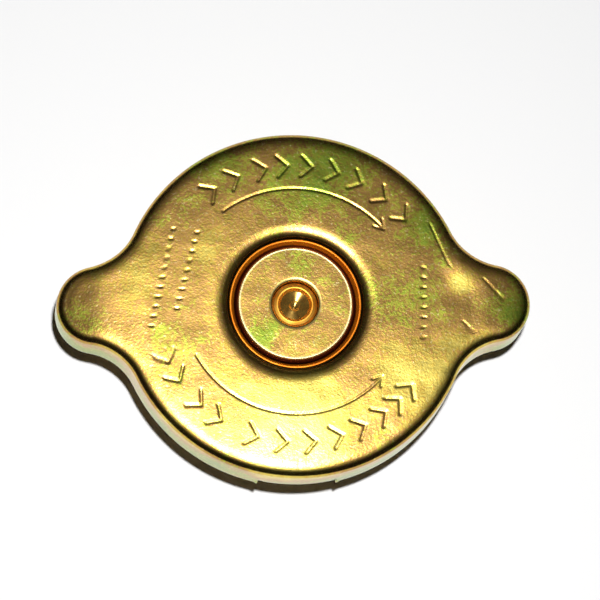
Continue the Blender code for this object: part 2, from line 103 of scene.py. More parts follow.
# Table, lamp and room: white paper, a small soft box beside the lens, as a flash on the camera is,
# white walls and a dim ceiling, which the metal mirrors as the dark bands along the cap's bends.
# The paper reads as white and keeps the cap's shadow; far off it is plain white.
LAMP_OFF_LENS = math.radians(5.2)
LAMP_SIDE = math.radians(21)
LAMP_DISTANCE = 0.45
LAMP_SIZE = 0.012
LAMP_POWER = 2.4
ROOM_GREY = 0.006
WALL_WHITE_BELOW = math.sin(math.radians(2))
WALL_DIM_ABOVE = math.sin(math.radians(9))
PAPER_WHITE = 0.96
PAPER_RADIUS = 2.0
PAPER_SIDES = 96
PLAIN_FROM = 0.09
PLAIN_BY = 0.40

lamp = bpy.data.lights.new("flash", "AREA")
lamp.shape = "DISK"
lamp.size = LAMP_SIZE
lamp.energy = LAMP_POWER
flash = bpy.data.objects.new("flash", lamp)
bpy.context.scene.collection.objects.link(flash)
lamp_side = right * math.sin(LAMP_SIDE) + up * math.cos(LAMP_SIDE)
lamp_way = (back + lamp_side * math.tan(LAMP_OFF_LENS)).normalized()
flash.location = crown_middle + lamp_way * LAMP_DISTANCE
flash.rotation_mode = "QUATERNION"
flash.rotation_quaternion = lamp_way.to_track_quat("Z", "Y")

bpy.context.scene.view_settings.view_transform = "Standard"


def add_node(tree, kind, settings=None, inputs=None):
    """A shader node with its settings, and each input linked to an output or set to a value."""
    node = tree.nodes.new("ShaderNode" + kind)
    for name, value in (settings or {}).items():
        setattr(node, name, value)
    for name, value in (inputs or {}).items():
        if isinstance(value, bpy.types.NodeSocket):
            tree.links.new(value, node.inputs[name])
        else:
            node.inputs[name].default_value = value
    return node


def looked_at(tree):
    """1 for a ray from the camera, or from a mirror or glass, and 0 for one that only carries light."""
    rays = add_node(tree, "LightPath").outputs
    seen = rays["Is Camera Ray"]
    for kind in ("Is Glossy Ray", "Is Transmission Ray"):
        either = add_node(tree, "Math", {"operation": "ADD", "use_clamp": True}, {0: seen, 1: rays[kind]})
        seen = either.outputs[0]
    return seen


room = bpy.data.worlds.new("room")
room.use_nodes = True
bpy.context.scene.world = room
tree = room.node_tree
seen = looked_at(tree)
rise = add_node(tree, "SeparateXYZ", None, {0: add_node(tree, "TexCoord").outputs["Generated"]})
wall = add_node(
    tree,
    "MapRange",
    {"interpolation_type": "SMOOTHSTEP"},
    {"Value": rise.outputs["Z"], "From Min": WALL_DIM_ABOVE, "From Max": WALL_WHITE_BELOW},
)
white = add_node(tree, "Math", {"operation": "MULTIPLY"}, {0: seen, 1: wall.outputs["Result"]})
grey = add_node(tree, "MapRange", None, {"Value": white.outputs[0], "To Min": ROOM_GREY, "To Max": 1})
backdrop = tree.nodes["Background"]
backdrop.inputs["Color"].default_value = (1, 1, 1, 1)
tree.links.new(grey.outputs["Result"], backdrop.inputs["Strength"])

paper = bpy.data.materials.new("white_paper")
paper.use_nodes = True
tree = paper.node_tree
tree.nodes.remove(tree.nodes["Principled BSDF"])
matt = add_node(tree, "BsdfDiffuse", None, {"Color": (PAPER_WHITE, PAPER_WHITE, PAPER_WHITE, 1)})
seen = looked_at(tree)
place = add_node(tree, "NewGeometry").outputs["Position"]
distance = add_node(tree, "VectorMath", {"operation": "LENGTH"}, {0: place})
far = add_node(
    tree,
    "MapRange",
    {"interpolation_type": "SMOOTHSTEP"},
    {"Value": distance.outputs["Value"], "From Min": PLAIN_FROM, "From Max": PLAIN_BY},
)
strength = add_node(tree, "Math", {"operation": "MULTIPLY"}, {0: seen, 1: far.outputs["Result"]})
glow = add_node(tree, "Emission", None, {"Strength": strength.outputs[0]})
both = add_node(tree, "AddShader", None, {0: matt.outputs[0], 1: glow.outputs[0]})
tree.links.new(both.outputs[0], tree.nodes["Material Output"].inputs["Surface"])

sheet_of_paper = bpy.data.meshes.new("table")
shape = bmesh.new()
bmesh.ops.create_circle(shape, cap_ends=True, segments=PAPER_SIDES, radius=PAPER_RADIUS)
shape.to_mesh(sheet_of_paper)
shape.free()
sheet_of_paper.materials.append(paper)
table = bpy.data.objects.new("table", sheet_of_paper)
bpy.context.scene.collection.objects.link(table)

# Crown: one pressing of mild steel sheet, with a round recess for the riveted centre, a rolled rim,
# a short skirt, two ears for the fingers and two tabs that lock under the neck's cams. Arrows and
# marks are stamped in its face. It is zinc plated, then passivated in yellow chromate.
SHEET = 0.0009
SKIRT_FLARE = 0.00022
SKIRT_BELOW_TAB = 0.0007
RIM_WIDE = 0.0028
RIM_TIGHT = 0.0011
RIM_BREAK = math.radians(40)
ROLL_ANGLE = math.radians(6)
ROLL_WIDTH = 0.0012
ROLL_POWER = 2.5
DOME_DROP = 0.00024
EAR_RADIUS = 0.0069
EAR_BLEND = 0.0105
EAR_DROPS = (0.0008, 0.00035)
EAR_SLOPE_START = 0.0255
CREASE_RADIUS = 0.0333
CREASE_SLOPES = (0.125, 0.02)
CREASE_BENDS = (0.0016, 0.0004)
BULGE_PLACE = (0.0298, 0.0054)
BULGE_SIZE = (0.0046, 0.0028)
BULGE_WAYS = np.array([[1, 1], [-1, 1]]) / math.sqrt(2)
BULGE_HEIGHT = 0.00025
HOLE_RADIUS = 0.0053
RECESS_RADIUS = 0.0117
RECESS_DEPTH = 0.0028
LIP_WIDTH = 0.0024
LIP_HEIGHT = 0.0011
RECESS_FOOT = 0.0007
TAB_WIDTH = 0.0118
TAB_REACH = 0.0034
TAB_BEND = 0.0012
TAB_CORNER = 0.0016
NOTCH_WIDTH = 0.0006
BURR_FLARE = 0.0003
BURR_LENGTH = 0.0012
RAW_EDGE = 0.00012

EAR_COLUMNS = 28
BLEND_COLUMNS = 22
BODY_COLUMNS = 92
NOTCH_COLUMNS = 3
TAB_COLUMNS = 24

# Rows from the recess's lip to the rim, as shares of the way: most of them lie where the marks are
# stamped. The inner face, which is seldom seen, has fewer rows everywhere.
OUTSIDE_SHARES = [
    *np.linspace(0, 0.19, 5)[1:],
    *np.linspace(0.19, 0.88, 58)[1:],
    *np.linspace(0.88, 1, 10)[1:],
]
INSIDE_SHARES = (0.25, 0.5, 0.75, 0.9, 1)
OUTSIDE = {"floor_rows": 3, "bend_steps": 10, "shares": OUTSIDE_SHARES, "skirt_rows": 4, "stamped": True}
INSIDE = {"floor_rows": 2, "bend_steps": 4, "shares": INSIDE_SHARES, "skirt_rows": 1, "stamped": False}
LOW_SKIRT_SHARES = (0.35, 0.7, 1)
TAB_BEND_STEPS = 6
TAB_FLAT_ROWS = 4
RAW_EDGE_STEPS = 2
ROUND_PROFILE = 0.5

body_radius = crown_high.y - SKIRT_FLARE
ear_centre = crown_high.x - SKIRT_FLARE - EAR_RADIUS
crown_top = crown_high.z
floor_top = crown_top - RECESS_DEPTH
skirt_bottom = crown_low.z
tab_bottom = skirt_bottom + SKIRT_BELOW_TAB
tab_start_height = tab_bottom + TAB_BEND
rim_inset = RIM_TIGHT + (RIM_WIDE - RIM_TIGHT) * math.sin(RIM_BREAK)
rim_sink = (RIM_WIDE - RIM_TIGHT) * math.cos(RIM_BREAK)


def arc(centre, radius, start, end, steps, outward=1):
    """Rows of (x, y, outward x, outward y) round part of a circle, its end left out."""
    angles = start + (end - start) * np.arange(steps) / steps
    away = np.column_stack([np.cos(angles), np.sin(angles)])
    return np.hstack([np.asarray(centre) + away * radius, away * outward])


def crown_outline():
    """The crown from above, anticlockwise from +X, and each point's count of columns to a tab's middle."""
    reach = body_radius + EAR_BLEND
    across = (reach ** 2 - (EAR_RADIUS + EAR_BLEND) ** 2 + ear_centre ** 2) / (2 * ear_centre)
    side = math.sqrt(reach ** 2 - across ** 2)
    ear_end = math.atan2(side, across - ear_centre)
    body_start = math.atan2(side, across)
    tab_start = math.acos(TAB_WIDTH / 2 / (body_radius - SHEET))
    notch_start = tab_start - NOTCH_WIDTH / (body_radius - SHEET)
    quarter = np.vstack([
        arc((ear_centre, 0), EAR_RADIUS, 0, ear_end, EAR_COLUMNS),
        arc((across, side), EAR_BLEND, ear_end + math.pi, body_start + math.pi, BLEND_COLUMNS, -1),
        arc((0, 0), body_radius, body_start, notch_start, BODY_COLUMNS),
        arc((0, 0), body_radius, notch_start, tab_start, NOTCH_COLUMNS),
        arc((0, 0), body_radius, tab_start, math.pi / 2, TAB_COLUMNS),
        [(0, body_radius, 0, 1)],
    ])
    to_tab = np.arange(len(quarter))[::-1]
    other = slice(-2, 0, -1)
    half = np.vstack([quarter, quarter[other] * (-1, 1, -1, 1)])
    half_to_tab = np.concatenate([to_tab, to_tab[other]])
    return np.vstack([half, -half]), np.concatenate([half_to_tab, half_to_tab])


outline, to_tab = crown_outline()
rim_points = outline[:, :2]
rim_ways = outline[:, 2:]
from_axis = rim_points / np.linalg.norm(rim_points, axis=1)[:, None]
column_count = len(outline)


def crown_height(places):
    """The top face: a slight dome, ears that slope down past a crease, a bulge, a rolled edge."""
    radius = np.linalg.norm(places, axis=1)
    lip = RECESS_RADIUS + LIP_WIDTH
    dome = np.clip((radius - lip) / (body_radius - lip), 0, 1)
    slope = np.maximum(radius - EAR_SLOPE_START, 0) / (ear_centre + EAR_RADIUS - EAR_SLOPE_START)
    ear_drop = np.where(places[:, 0] > 0, EAR_DROPS[1], EAR_DROPS[0])
    beyond = radius - CREASE_RADIUS
    crease_bend = np.where(places[:, 0] > 0, CREASE_BENDS[1], CREASE_BENDS[0])
    crease = (beyond + np.sqrt(beyond ** 2 + crease_bend ** 2)) / 2
    crease *= np.where(places[:, 0] > 0, CREASE_SLOPES[1], CREASE_SLOPES[0])
    bulge = np.exp(-(((places - BULGE_PLACE) @ BULGE_WAYS / BULGE_SIZE) ** 2).sum(axis=1))
    apart = places[:, None, :] - rim_points[None, :, :]
    to_edge = np.sqrt((apart ** 2).sum(axis=2)).min(axis=1)
    roll_start = ROLL_WIDTH + rim_inset - RIM_WIDE * math.sin(ROLL_ANGLE)
    roll = np.clip((roll_start - to_edge) / ROLL_WIDTH, 0, 1)
    roll_drop = ROLL_WIDTH * math.tan(ROLL_ANGLE) / ROLL_POWER
    return (
        crown_top
        - DOME_DROP * dome ** 2
        - ear_drop * slope ** 2
        - crease
        + BULGE_HEIGHT * bulge
        - roll_drop * roll ** ROLL_POWER
    )


# Stamped marks: the top arrow and its chevrons run clockwise and the bottom ones anticlockwise, and
# rows of punched dots stand beside them. Three scratches cross the right side.
ARROW_RADII = (0.0202, 0.0195)
ARROW_ENDS = ((127.5, 39.5), (207.5, 318.0))
ARROW_HALF_WIDTH = 0.00034
ARROW_DEPTH = 0.00010
ARROW_BARB = 0.0019
BARB_SPREAD = math.radians(32)
CHEVRON_ANGLES = (
    (126, 115, 103, 94, 84, 73, 62.5, 50.5, 39),
    (203, 212, 225, 235, 251, 263, 274.5, 285.5, 295.6, 305.6, 313.4, 321),
)
CHEVRON_RADIUS = 0.0243
CHEVRON_HEIGHT = 0.0038
CHEVRON_WIDTH = 0.0019
CHEVRON_HALF_STROKE = 0.00042
CHEVRON_DEPTH = 0.00012
DOT_ROWS = (
    ((-0.0208, 0.0130), (-0.0248, -0.0040), 11),
    ((-0.0167, 0.0124), (-0.0204, -0.0010), 9),
    ((0.0222, 0.0060), (0.0218, -0.0063), 8),
)
DOT_LENGTH = 0.0004
DOT_HALF_WIDTH = 0.00038
DOT_DEPTH = 0.00009
SCRATCHES = (
    ((0.0237, 0.0138), (0.0268, 0.0062)),
    ((0.0326, 0.0041), (0.0359, 0.0005)),
    ((0.0287, -0.0034), (0.0307, -0.0055)),
)
SCRATCH_HALF_WIDTH = 0.00024
SCRATCH_DEPTH = 0.00008


def on_circle(radius, degrees):
    angle = math.radians(degrees)
    return np.array([radius * math.cos(angle), radius * math.sin(angle)])


def turned_by(way, angle):
    return np.array([
        way[0] * math.cos(angle) - way[1] * math.sin(angle),
        way[0] * math.sin(angle) + way[1] * math.cos(angle),
    ])


strokes = []
for radius, (tail, tip), chevrons in zip(ARROW_RADII, ARROW_ENDS, CHEVRON_ANGLES):
    turn = math.copysign(1, tip - tail)
    point = on_circle(radius, tip)
    backward = on_circle(1, tip - turn * 90)
    for spread in (BARB_SPREAD, -BARB_SPREAD):
        barb = point + ARROW_BARB * turned_by(backward, spread)
        strokes.append((point, barb, ARROW_HALF_WIDTH, ARROW_DEPTH))
    for degrees in chevrons:
        forward = on_circle(1, degrees + turn * 90)
        tip_point = on_circle(CHEVRON_RADIUS, degrees) + forward * CHEVRON_WIDTH / 2
        for side in (CHEVRON_HEIGHT / 2, -CHEVRON_HEIGHT / 2):
            end = on_circle(CHEVRON_RADIUS + side, degrees) - forward * CHEVRON_WIDTH / 2
            strokes.append((tip_point, end, CHEVRON_HALF_STROKE, CHEVRON_DEPTH))
for first, last, count in DOT_ROWS:
    for place in np.linspace(first, last, count):
        half = np.array([DOT_LENGTH / 2, 0])
        strokes.append((place - half, place + half, DOT_HALF_WIDTH, DOT_DEPTH))
for start, end in SCRATCHES:
    strokes.append((np.array(start), np.array(end), SCRATCH_HALF_WIDTH, SCRATCH_DEPTH))


def groove(distance, half_width, depth):
    """How deep a soft-edged groove is at this distance from its middle line."""
    return depth * (0.5 + 0.5 * np.cos(np.pi * np.clip(distance / half_width, 0, 1)))


def stamped_depth(places):
    """How far the stamps have pressed the top face down at each place."""
    deepest = np.zeros(len(places))
    radius = np.linalg.norm(places, axis=1)
    degrees = np.degrees(np.arctan2(places[:, 1], places[:, 0])) % 360
    for arrow_radius, ends in zip(ARROW_RADII, ARROW_ENDS):
        along = (degrees > min(ends)) & (degrees < max(ends))
        distance = np.where(along, abs(radius - arrow_radius), 1)
        deepest = np.maximum(deepest, groove(distance, ARROW_HALF_WIDTH, ARROW_DEPTH))
    for start, end, half_width, depth in strokes:
        line = end - start
        share = np.clip((places - start) @ line / (line @ line), 0, 1)
        distance = np.linalg.norm(places - start - share[:, None] * line, axis=1)
        deepest = np.maximum(deepest, groove(distance, half_width, depth))
    return deepest


def with_height(places, height):
    return np.column_stack([places, np.broadcast_to(height, len(places))])


def crown_skin(depth, floor_rows, bend_steps, shares, skirt_rows, stamped):
    """Rows of points of the sheet's face that lies this deep in it, from the hole to the skirt."""
    rows = []
    for radius in np.linspace(HOLE_RADIUS, RECESS_RADIUS - RECESS_FOOT, floor_rows):
        rows.append(with_height(from_axis * radius, floor_top - depth))
    bend = np.linspace(0, math.pi / 2, bend_steps + 1)
    for angle in bend[1:]:
        foot = RECESS_FOOT + depth
        radius = RECESS_RADIUS - RECESS_FOOT + foot * math.sin(angle)
        rows.append(with_height(from_axis * radius, floor_top + RECESS_FOOT - foot * math.cos(angle)))
    for angle in bend:
        radius = RECESS_RADIUS + LIP_WIDTH - (LIP_WIDTH - depth) * math.cos(angle)
        height = crown_top - LIP_HEIGHT + (LIP_HEIGHT - depth) * math.sin(angle)
        rows.append(with_height(from_axis * radius, height))
    start = from_axis * (RECESS_RADIUS + LIP_WIDTH)
    rim_centre = rim_points - rim_ways * rim_inset
    inset = rim_centre + rim_ways * (RIM_WIDE - depth) * math.sin(ROLL_ANGLE)
    for share in shares:
        places = start * (1 - share) + inset * share
        height = crown_height(places) - depth
        if stamped:
            height -= stamped_depth(places)
        rows.append(with_height(places, height))
    rim_top = crown_height(rim_centre + rim_ways * RIM_WIDE * math.sin(ROLL_ANGLE))
    rim_height = rim_top - RIM_WIDE * math.cos(ROLL_ANGLE) + rim_sink
    wide = (RIM_WIDE - depth, rim_centre, rim_height - rim_sink, ROLL_ANGLE, RIM_BREAK)
    tight = (RIM_TIGHT - depth, rim_points - rim_ways * RIM_TIGHT, rim_height, RIM_BREAK, math.pi / 2)
    for fillet, centre, height, start_angle, end_angle in (wide, tight):
        for angle in np.linspace(start_angle, end_angle, bend_steps // 2 + 1)[1:]:
            places = centre + rim_ways * fillet * math.sin(angle)
            rows.append(with_height(places, height + fillet * math.cos(angle)))
    for share in np.linspace(0, 1, skirt_rows + 1)[1:]:
        height = rim_height + (tab_start_height - rim_height) * share
        rows.append(skirt_row(depth, rim_height, height))
    return rows, rim_height


def skirt_row(depth, rim_height, height):
    """One row of the skirt, which flares a little, with a burr beside each notch."""
    flare = SKIRT_FLARE * (rim_height - height) / (rim_height - skirt_bottom)
    low = np.clip((tab_start_height - height) / (tab_start_height - skirt_bottom), 0, 1)
    beyond = abs(rim_points[:, 0]) - TAB_WIDTH / 2 - NOTCH_WIDTH
    burr = np.where(abs(beyond) < BURR_LENGTH, 0.5 + 0.5 * np.cos(np.pi * beyond / BURR_LENGTH), 0)
    out = flare + BURR_FLARE * burr * low ** 2 - depth
    return with_height(rim_points + rim_ways * out[:, None], height)


def tab_rows(depth, rim_height, bend_steps, flat_rows):
    """Rows round the bend at the skirt's foot and inwards along the tab, its corners rounded."""
    rows = []
    flare = SKIRT_FLARE * (rim_height - tab_start_height) / (rim_height - skirt_bottom)
    bend_centre = rim_points + rim_ways * (flare - TAB_BEND)[:, None]
    for angle in np.linspace(0, math.pi / 2, bend_steps + 1)[1:]:
        bend = TAB_BEND - depth
        places = bend_centre + rim_ways * bend * math.cos(angle)
        rows.append(with_height(places, tab_start_height - bend * math.sin(angle)))
    into_corner = np.clip(abs(rim_points[:, 0]) - TAB_WIDTH / 2 + TAB_CORNER, 0, TAB_CORNER)
    cut = TAB_CORNER - np.sqrt(TAB_CORNER ** 2 - into_corner ** 2)
    length = SHEET + TAB_REACH - cut - TAB_BEND
    for share in np.linspace(0, 1, flat_rows + 1)[1:]:
        places = bend_centre - rim_ways * (length * share)[:, None]
        rows.append(with_height(places, tab_bottom + depth))
    return rows


def join_rows(shape, rows, columns):
    """Quads between each two rows, from each of these columns to the next one round."""
    for upper, lower in zip(rows, rows[1:]):
        for i in columns:
            j = (i + 1) % column_count
            shape.faces.new((upper[i], lower[i], lower[j], upper[j]))


def build_crown():
    """Both faces of the sheet, joined by walls along every raw edge, whose corners are broken."""
    between = np.maximum(to_tab, np.roll(to_tab, -1))
    all_columns = range(column_count)
    skirt_columns = np.flatnonzero(between > TAB_COLUMNS + NOTCH_COLUMNS).tolist()
    tab_columns = np.flatnonzero(between <= TAB_COLUMNS).tolist()
    shape = bmesh.new()
    skins = []
    for depth, detail in ((0, OUTSIDE), (SHEET, INSIDE)):
        rows, rim_height = crown_skin(depth, **detail)
        low = [skirt_row(depth, rim_height, tab_start_height)]
        for share in LOW_SKIRT_SHARES:
            height = tab_start_height + (skirt_bottom - tab_start_height) * share
            low.append(skirt_row(depth, rim_height, height))
        upper = [[shape.verts.new(place) for place in row] for row in rows]
        lower = [upper[-1]] + [[shape.verts.new(place) for place in row] for row in low[1:]]
        tab = tab_rows(depth, rim_height, TAB_BEND_STEPS, TAB_FLAT_ROWS)
        tab = [upper[-1]] + [[shape.verts.new(place) for place in row] for row in tab]
        join_rows(shape, upper, all_columns)
        join_rows(shape, lower, skirt_columns)
        join_rows(shape, tab, tab_columns)
        skins.append([upper[0], *lower, *tab[1:]])
    partner = {}
    for outer_row, inner_row in zip(*skins):
        partner.update(zip(outer_row, inner_row))
    raw = [edge for edge in shape.edges if edge.is_boundary and all(v in partner for v in edge.verts)]
    walls = []
    for edge in raw:
        a, b = edge.verts
        walls.append(shape.faces.new((a, b, partner[b], partner[a])))
    loose = [vert for vert in shape.verts if not vert.link_faces]
    bmesh.ops.delete(shape, geom=loose, context="VERTS")
    rims = {edge for wall in walls for edge in wall.edges}
    across_wall = {edge for edge in rims if sum(face in walls for face in edge.link_faces) == 2}
    bmesh.ops.recalc_face_normals(shape, faces=shape.faces)
    bmesh.ops.bevel(
        shape,
        geom=list(rims - across_wall),
        offset=RAW_EDGE,
        segments=RAW_EDGE_STEPS,
        profile=ROUND_PROFILE,
        affect="EDGES",
        clamp_overlap=True,
    )
    return finished_mesh("crown_skin", shape)


def finished_mesh(name, shape, sharp=60):
    """A mesh from a closed shape, faces outward, smooth but for edges that bend by more degrees."""
    bmesh.ops.recalc_face_normals(shape, faces=shape.faces)
    mesh = bpy.data.meshes.new(name)
    shape.to_mesh(mesh)
    shape.free()
    mesh.shade_smooth()
    mesh.set_sharp_from_angle(angle=math.radians(sharp))
    return mesh


def linear(code):
    """Linear colour of an sRGB hex code."""
    channels = [int(code[k : k + 2], 16) / 255 for k in (0, 2, 4)]
    return [c / 12.92 if c <= 0.04045 else ((c + 0.055) / 1.055) ** 2.4 for c in channels] + [1]


# Zinc electroplate with a yellow chromate film. The film's thickness gives its colour by
# interference: straw, gold, brown, rose, then olive and green as it thickens, in clouds a few
# millimetres wide. The steel under it is slightly rough, which a fine bump gives, and pale flecks
# mixed into the colour are painted glints.
FILM_COLOURS = (
    (0.00, "F2DA68"),
    (0.20, "E8D068"),
    (0.36, "CFAE48"),
    (0.46, "C8965C"),
    (0.55, "B68F4C"),
    (0.68, "B2A844"),
    (0.84, "9BAA3C"),
    (1.00, "7A9034"),
)
FILM_CLOUD = 0.011
FILM_WISP = 0.0026
PLATE_GRAIN = 0.00045
GLINT_FLECK_SIZE = 0.00062
WAVE_LENGTH = 0.006
# Size, detail and roughness of the noise in each of these, in this order.
PLATE_NOISES = (
    (FILM_CLOUD, 3, 0.5),
    (FILM_WISP, 4, 0.65),
    (PLATE_GRAIN, 2, 0.7),
    (GLINT_FLECK_SIZE, 3, 0.8),
    (WAVE_LENGTH, 1, 0.5),
)
NOISE_RANGE = (0.28, 0.72)
FILM_START = -0.16
FILM_SHARES = (0.5, 0.28, 0.44)
SKIRT_FILM = 0.36
SKIRT_FILM_FROM = 2 * RIM_TIGHT
SKIRT_FILM_BY = 5 * RIM_TIGHT
SPECKLE = (0.62, 1.18)
GLINT_FLECK_COLOUR = "FFEFAE"
GLINT_FLECK_RANGE = (0.70, 0.95)
GLINT_FLECK_SHARE = 0.6
PLATE_ROUGHNESS = (0.29, 0.38)
WORN_HIGHLIGHT_COLOUR = "F6EAB4"
MOUTH_HIGHLIGHT_COLOUR = "F2DC8C"
RECESS_SHADE_COLOUR = "1C160A"
RING_COVER = 0.9
RING_ROUGHNESS = 0.5
WAVE_HEIGHT = 0.00006
GRAIN_HEIGHT = 0.000013
BEND_ROUGHNESS = 0.2
BEND_GRAIN = 0.4
BEND_FROM = math.cos(math.radians(17))
BEND_BY = math.cos(math.radians(30))


def new_finish(name, metallic):
    """A new material, its node tree, its shader, and the place on the piece that patterns follow."""
    material = bpy.data.materials.new(name)
    material.use_nodes = True
    tree = material.node_tree
    shader = tree.nodes["Principled BSDF"]
    shader.inputs["Metallic"].default_value = metallic
    return material, tree, shader, add_node(tree, "TexCoord").outputs["Object"]


def yellow_zinc(name, patches, rings):
    """The plated finish. Each patch (x, y, radius, change) thickens or thins the film round a place, and
    each ring (radius, half width, colour) is mixed in: pale rings stand for wear and painted highlight,
    dark ones for painted shade."""
    material, tree, shader, place = new_finish(name, 1)
    noises = []
    for size, detail, roughness in PLATE_NOISES:
        noise = add_node(
            tree,
            "TexNoise",
            None,
            {"Vector": place, "Scale": 1 / size, "Detail": detail, "Roughness": roughness},
        )
        even = add_node(
            tree,
            "MapRange",
            None,
            {"Value": noise.outputs["Fac"], "From Min": NOISE_RANGE[0], "From Max": NOISE_RANGE[1]},
        )
        noises.append(even.outputs["Result"])
    cloud, wisp, grain, glint_fleck, wave = noises
    film = FILM_START
    for noise, share in zip((cloud, wisp, grain), FILM_SHARES):
        film = add_node(
            tree, "Math", {"operation": "MULTIPLY_ADD"}, {0: noise, 1: share, 2: film}
        ).outputs[0]
    height = add_node(tree, "SeparateXYZ", None, {0: place})
    skirt = add_node(
        tree,
        "MapRange",
        None,
        {
            "Value": height.outputs["Z"],
            "From Min": crown_top - SKIRT_FILM_FROM,
            "From Max": crown_top - SKIRT_FILM_BY,
            "To Max": SKIRT_FILM,
        },
    )
    changes = [skirt]
    for x, y, radius, change in patches:
        apart = add_node(tree, "VectorMath", {"operation": "DISTANCE"}, {0: place, 1: (x, y, crown_top)})
        patch = add_node(
            tree,
            "MapRange",
            {"interpolation_type": "SMOOTHSTEP"},
            {"Value": apart.outputs["Value"], "From Min": radius, "From Max": 0, "To Max": change},
        )
        changes.append(patch)
    for change in changes:
        film = add_node(
            tree, "Math", {"operation": "ADD"}, {0: film, 1: change.outputs["Result"]}
        ).outputs[0]
    colour = add_node(tree, "ValToRGB", None, {"Fac": film})
    stops = colour.color_ramp.elements
    while len(stops) < len(FILM_COLOURS):
        stops.new(0.5)
    for stop, (position, code) in zip(stops, FILM_COLOURS):
        stop.position = position
        stop.color = linear(code)
    speckle = add_node(tree, "MapRange", None, {"Value": grain, "To Min": SPECKLE[0], "To Max": SPECKLE[1]})
    base = add_node(
        tree,
        "VectorMath",
        {"operation": "SCALE"},
        {0: colour.outputs["Color"], "Scale": speckle.outputs["Result"]},
    )
    # Pale flecks mixed into the colour: painted glints.
    glint_fleck = add_node(
        tree,
        "MapRange",
        None,
        {"Value": glint_fleck, "From Min": GLINT_FLECK_RANGE[0], "From Max": GLINT_FLECK_RANGE[1], "To Max": GLINT_FLECK_SHARE},
    )
    base = add_node(
        tree,
        "Mix",
        {"data_type": "RGBA"},
        {"Factor": glint_fleck.outputs["Result"], 6: base.outputs[0], 7: linear(GLINT_FLECK_COLOUR)},
    )
    rough = add_node(
        tree, "MapRange", None, {"Value": wisp, "To Min": PLATE_ROUGHNESS[0], "To Max": PLATE_ROUGHNESS[1]}
    ).outputs["Result"]
    lean = add_node(tree, "SeparateXYZ", None, {0: add_node(tree, "TexCoord").outputs["Normal"]})
    bend = add_node(
        tree, "MapRange", None, {"Value": lean.outputs["Z"], "From Min": BEND_FROM, "From Max": BEND_BY}
    ).outputs["Result"]
    rough = add_node(
        tree, "MapRange", None, {"Value": bend, "To Min": rough, "To Max": BEND_ROUGHNESS}
    ).outputs["Result"]
    flat = add_node(tree, "VectorMath", {"operation": "MULTIPLY"}, {0: place, 1: (1, 1, 0)})
    from_axis = add_node(tree, "VectorMath", {"operation": "LENGTH"}, {0: flat.outputs[0]}).outputs["Value"]
    # Each ring's colour is mixed in: the pale ones are wear and painted highlight, the dark one painted
    # shade.
    for radius, half_width, ring_colour in rings:
        apart = add_node(tree, "Math", {"operation": "SUBTRACT"}, {0: from_axis, 1: radius})
        apart = add_node(tree, "Math", {"operation": "ABSOLUTE"}, {0: apart.outputs[0]})
        ring_paint = add_node(
            tree,
            "MapRange",
            {"interpolation_type": "SMOOTHSTEP"},
            {"Value": apart.outputs[0], "From Min": half_width, "From Max": 0, "To Max": RING_COVER},
        ).outputs["Result"]
        base = add_node(
            tree, "Mix", {"data_type": "RGBA"}, {"Factor": ring_paint, 6: base.outputs[2], 7: linear(ring_colour)}
        )
        rough = add_node(
            tree, "MapRange", None, {"Value": ring_paint, "To Min": rough, "To Max": RING_ROUGHNESS}
        ).outputs["Result"]
    tree.links.new(base.outputs[2], shader.inputs["Base Color"])
    tree.links.new(rough, shader.inputs["Roughness"])
    swell = add_node(tree, "Bump", None, {"Strength": 1, "Distance": WAVE_HEIGHT, "Height": wave})
    coarse = add_node(tree, "MapRange", None, {"Value": bend, "To Min": 1, "To Max": BEND_GRAIN})
    bump = add_node(
        tree,
        "Bump",
        None,
        {
            "Strength": coarse.outputs["Result"],
            "Distance": GRAIN_HEIGHT,
            "Height": grain,
            "Normal": swell.outputs["Normal"],
        },
    )
    tree.links.new(bump.outputs["Normal"], shader.inputs["Normal"])
    return material


# Partly the film's own clouds and partly painted light: patches over the near half thin the film to pale
# straw, those over the far half thicken it to darker olive.
CROWN_FILM_AND_LIGHT_PATCHES = (
    (0.004, 0.025, 0.016, 0.34),
    (0.021, 0.016, 0.012, 0.30),
    (-0.012, 0.026, 0.009, 0.16),
    (0.037, -0.001, 0.008, 0.34),
    (0.0285, 0.0034, 0.004, -0.25),
    (-0.036, 0.003, 0.009, -0.04),
    (-0.014, -0.0285, 0.010, 0.10),
    (-0.028, 0.002, 0.006, -0.20),
    (-0.016, 0.014, 0.010, 0.05),
    (-0.013, -0.012, 0.012, -0.08),
    (0.000, -0.022, 0.014, -0.40),
    (0.018, -0.016, 0.010, -0.22),
    (0.011, 0.012, 0.010, 0.20),
    (0.000, 0.0165, 0.009, 0.15),
    (0.018, 0.000, 0.009, 0.12),
)


def add_piece(name, mesh, material, slot, body, *nodes):
    """A piece of the cap: its mesh and finish, the body it rides on and the nodes that it stands for."""
    mesh.materials.append(material)
    piece = bpy.data.objects.new(name, mesh)
    bpy.context.scene.collection.objects.link(piece)
    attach(piece, body)
    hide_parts(*nodes)
    return piece


# A dark ring round the recess's wall and foot: painted shade.
RECESS_SHADE_RINGS = ((0.0119, 0.0007, RECESS_SHADE_COLOUR),)
crown_finish = yellow_zinc("yellow_chromated_zinc", CROWN_FILM_AND_LIGHT_PATCHES, RECESS_SHADE_RINGS)
add_piece("crown_pressing", build_crown(), crown_finish, "yellow_zinc", "crown", "crown")

# Friction ring: a strip of copper alloy, spun into a dish that lies under the disc's edge with a
# wall up the side of the recess. Its top edge is rubbed bright; painted shade darkens its corner.
TURN_STEPS = 180
BEND_STEPS = 6
SHARP_TURN = 40
MERGE_DISTANCE = 1e-7
NEARLY_HALF = 0.49
RAW_SHEET_EDGE = 0.00008
RING_SHEET = 0.0004
RING_BEND = 0.0008
RING_LEAN = 0.0004
RING_INSIDE = 0.0083
ring_low, ring_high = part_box("friction_ring")


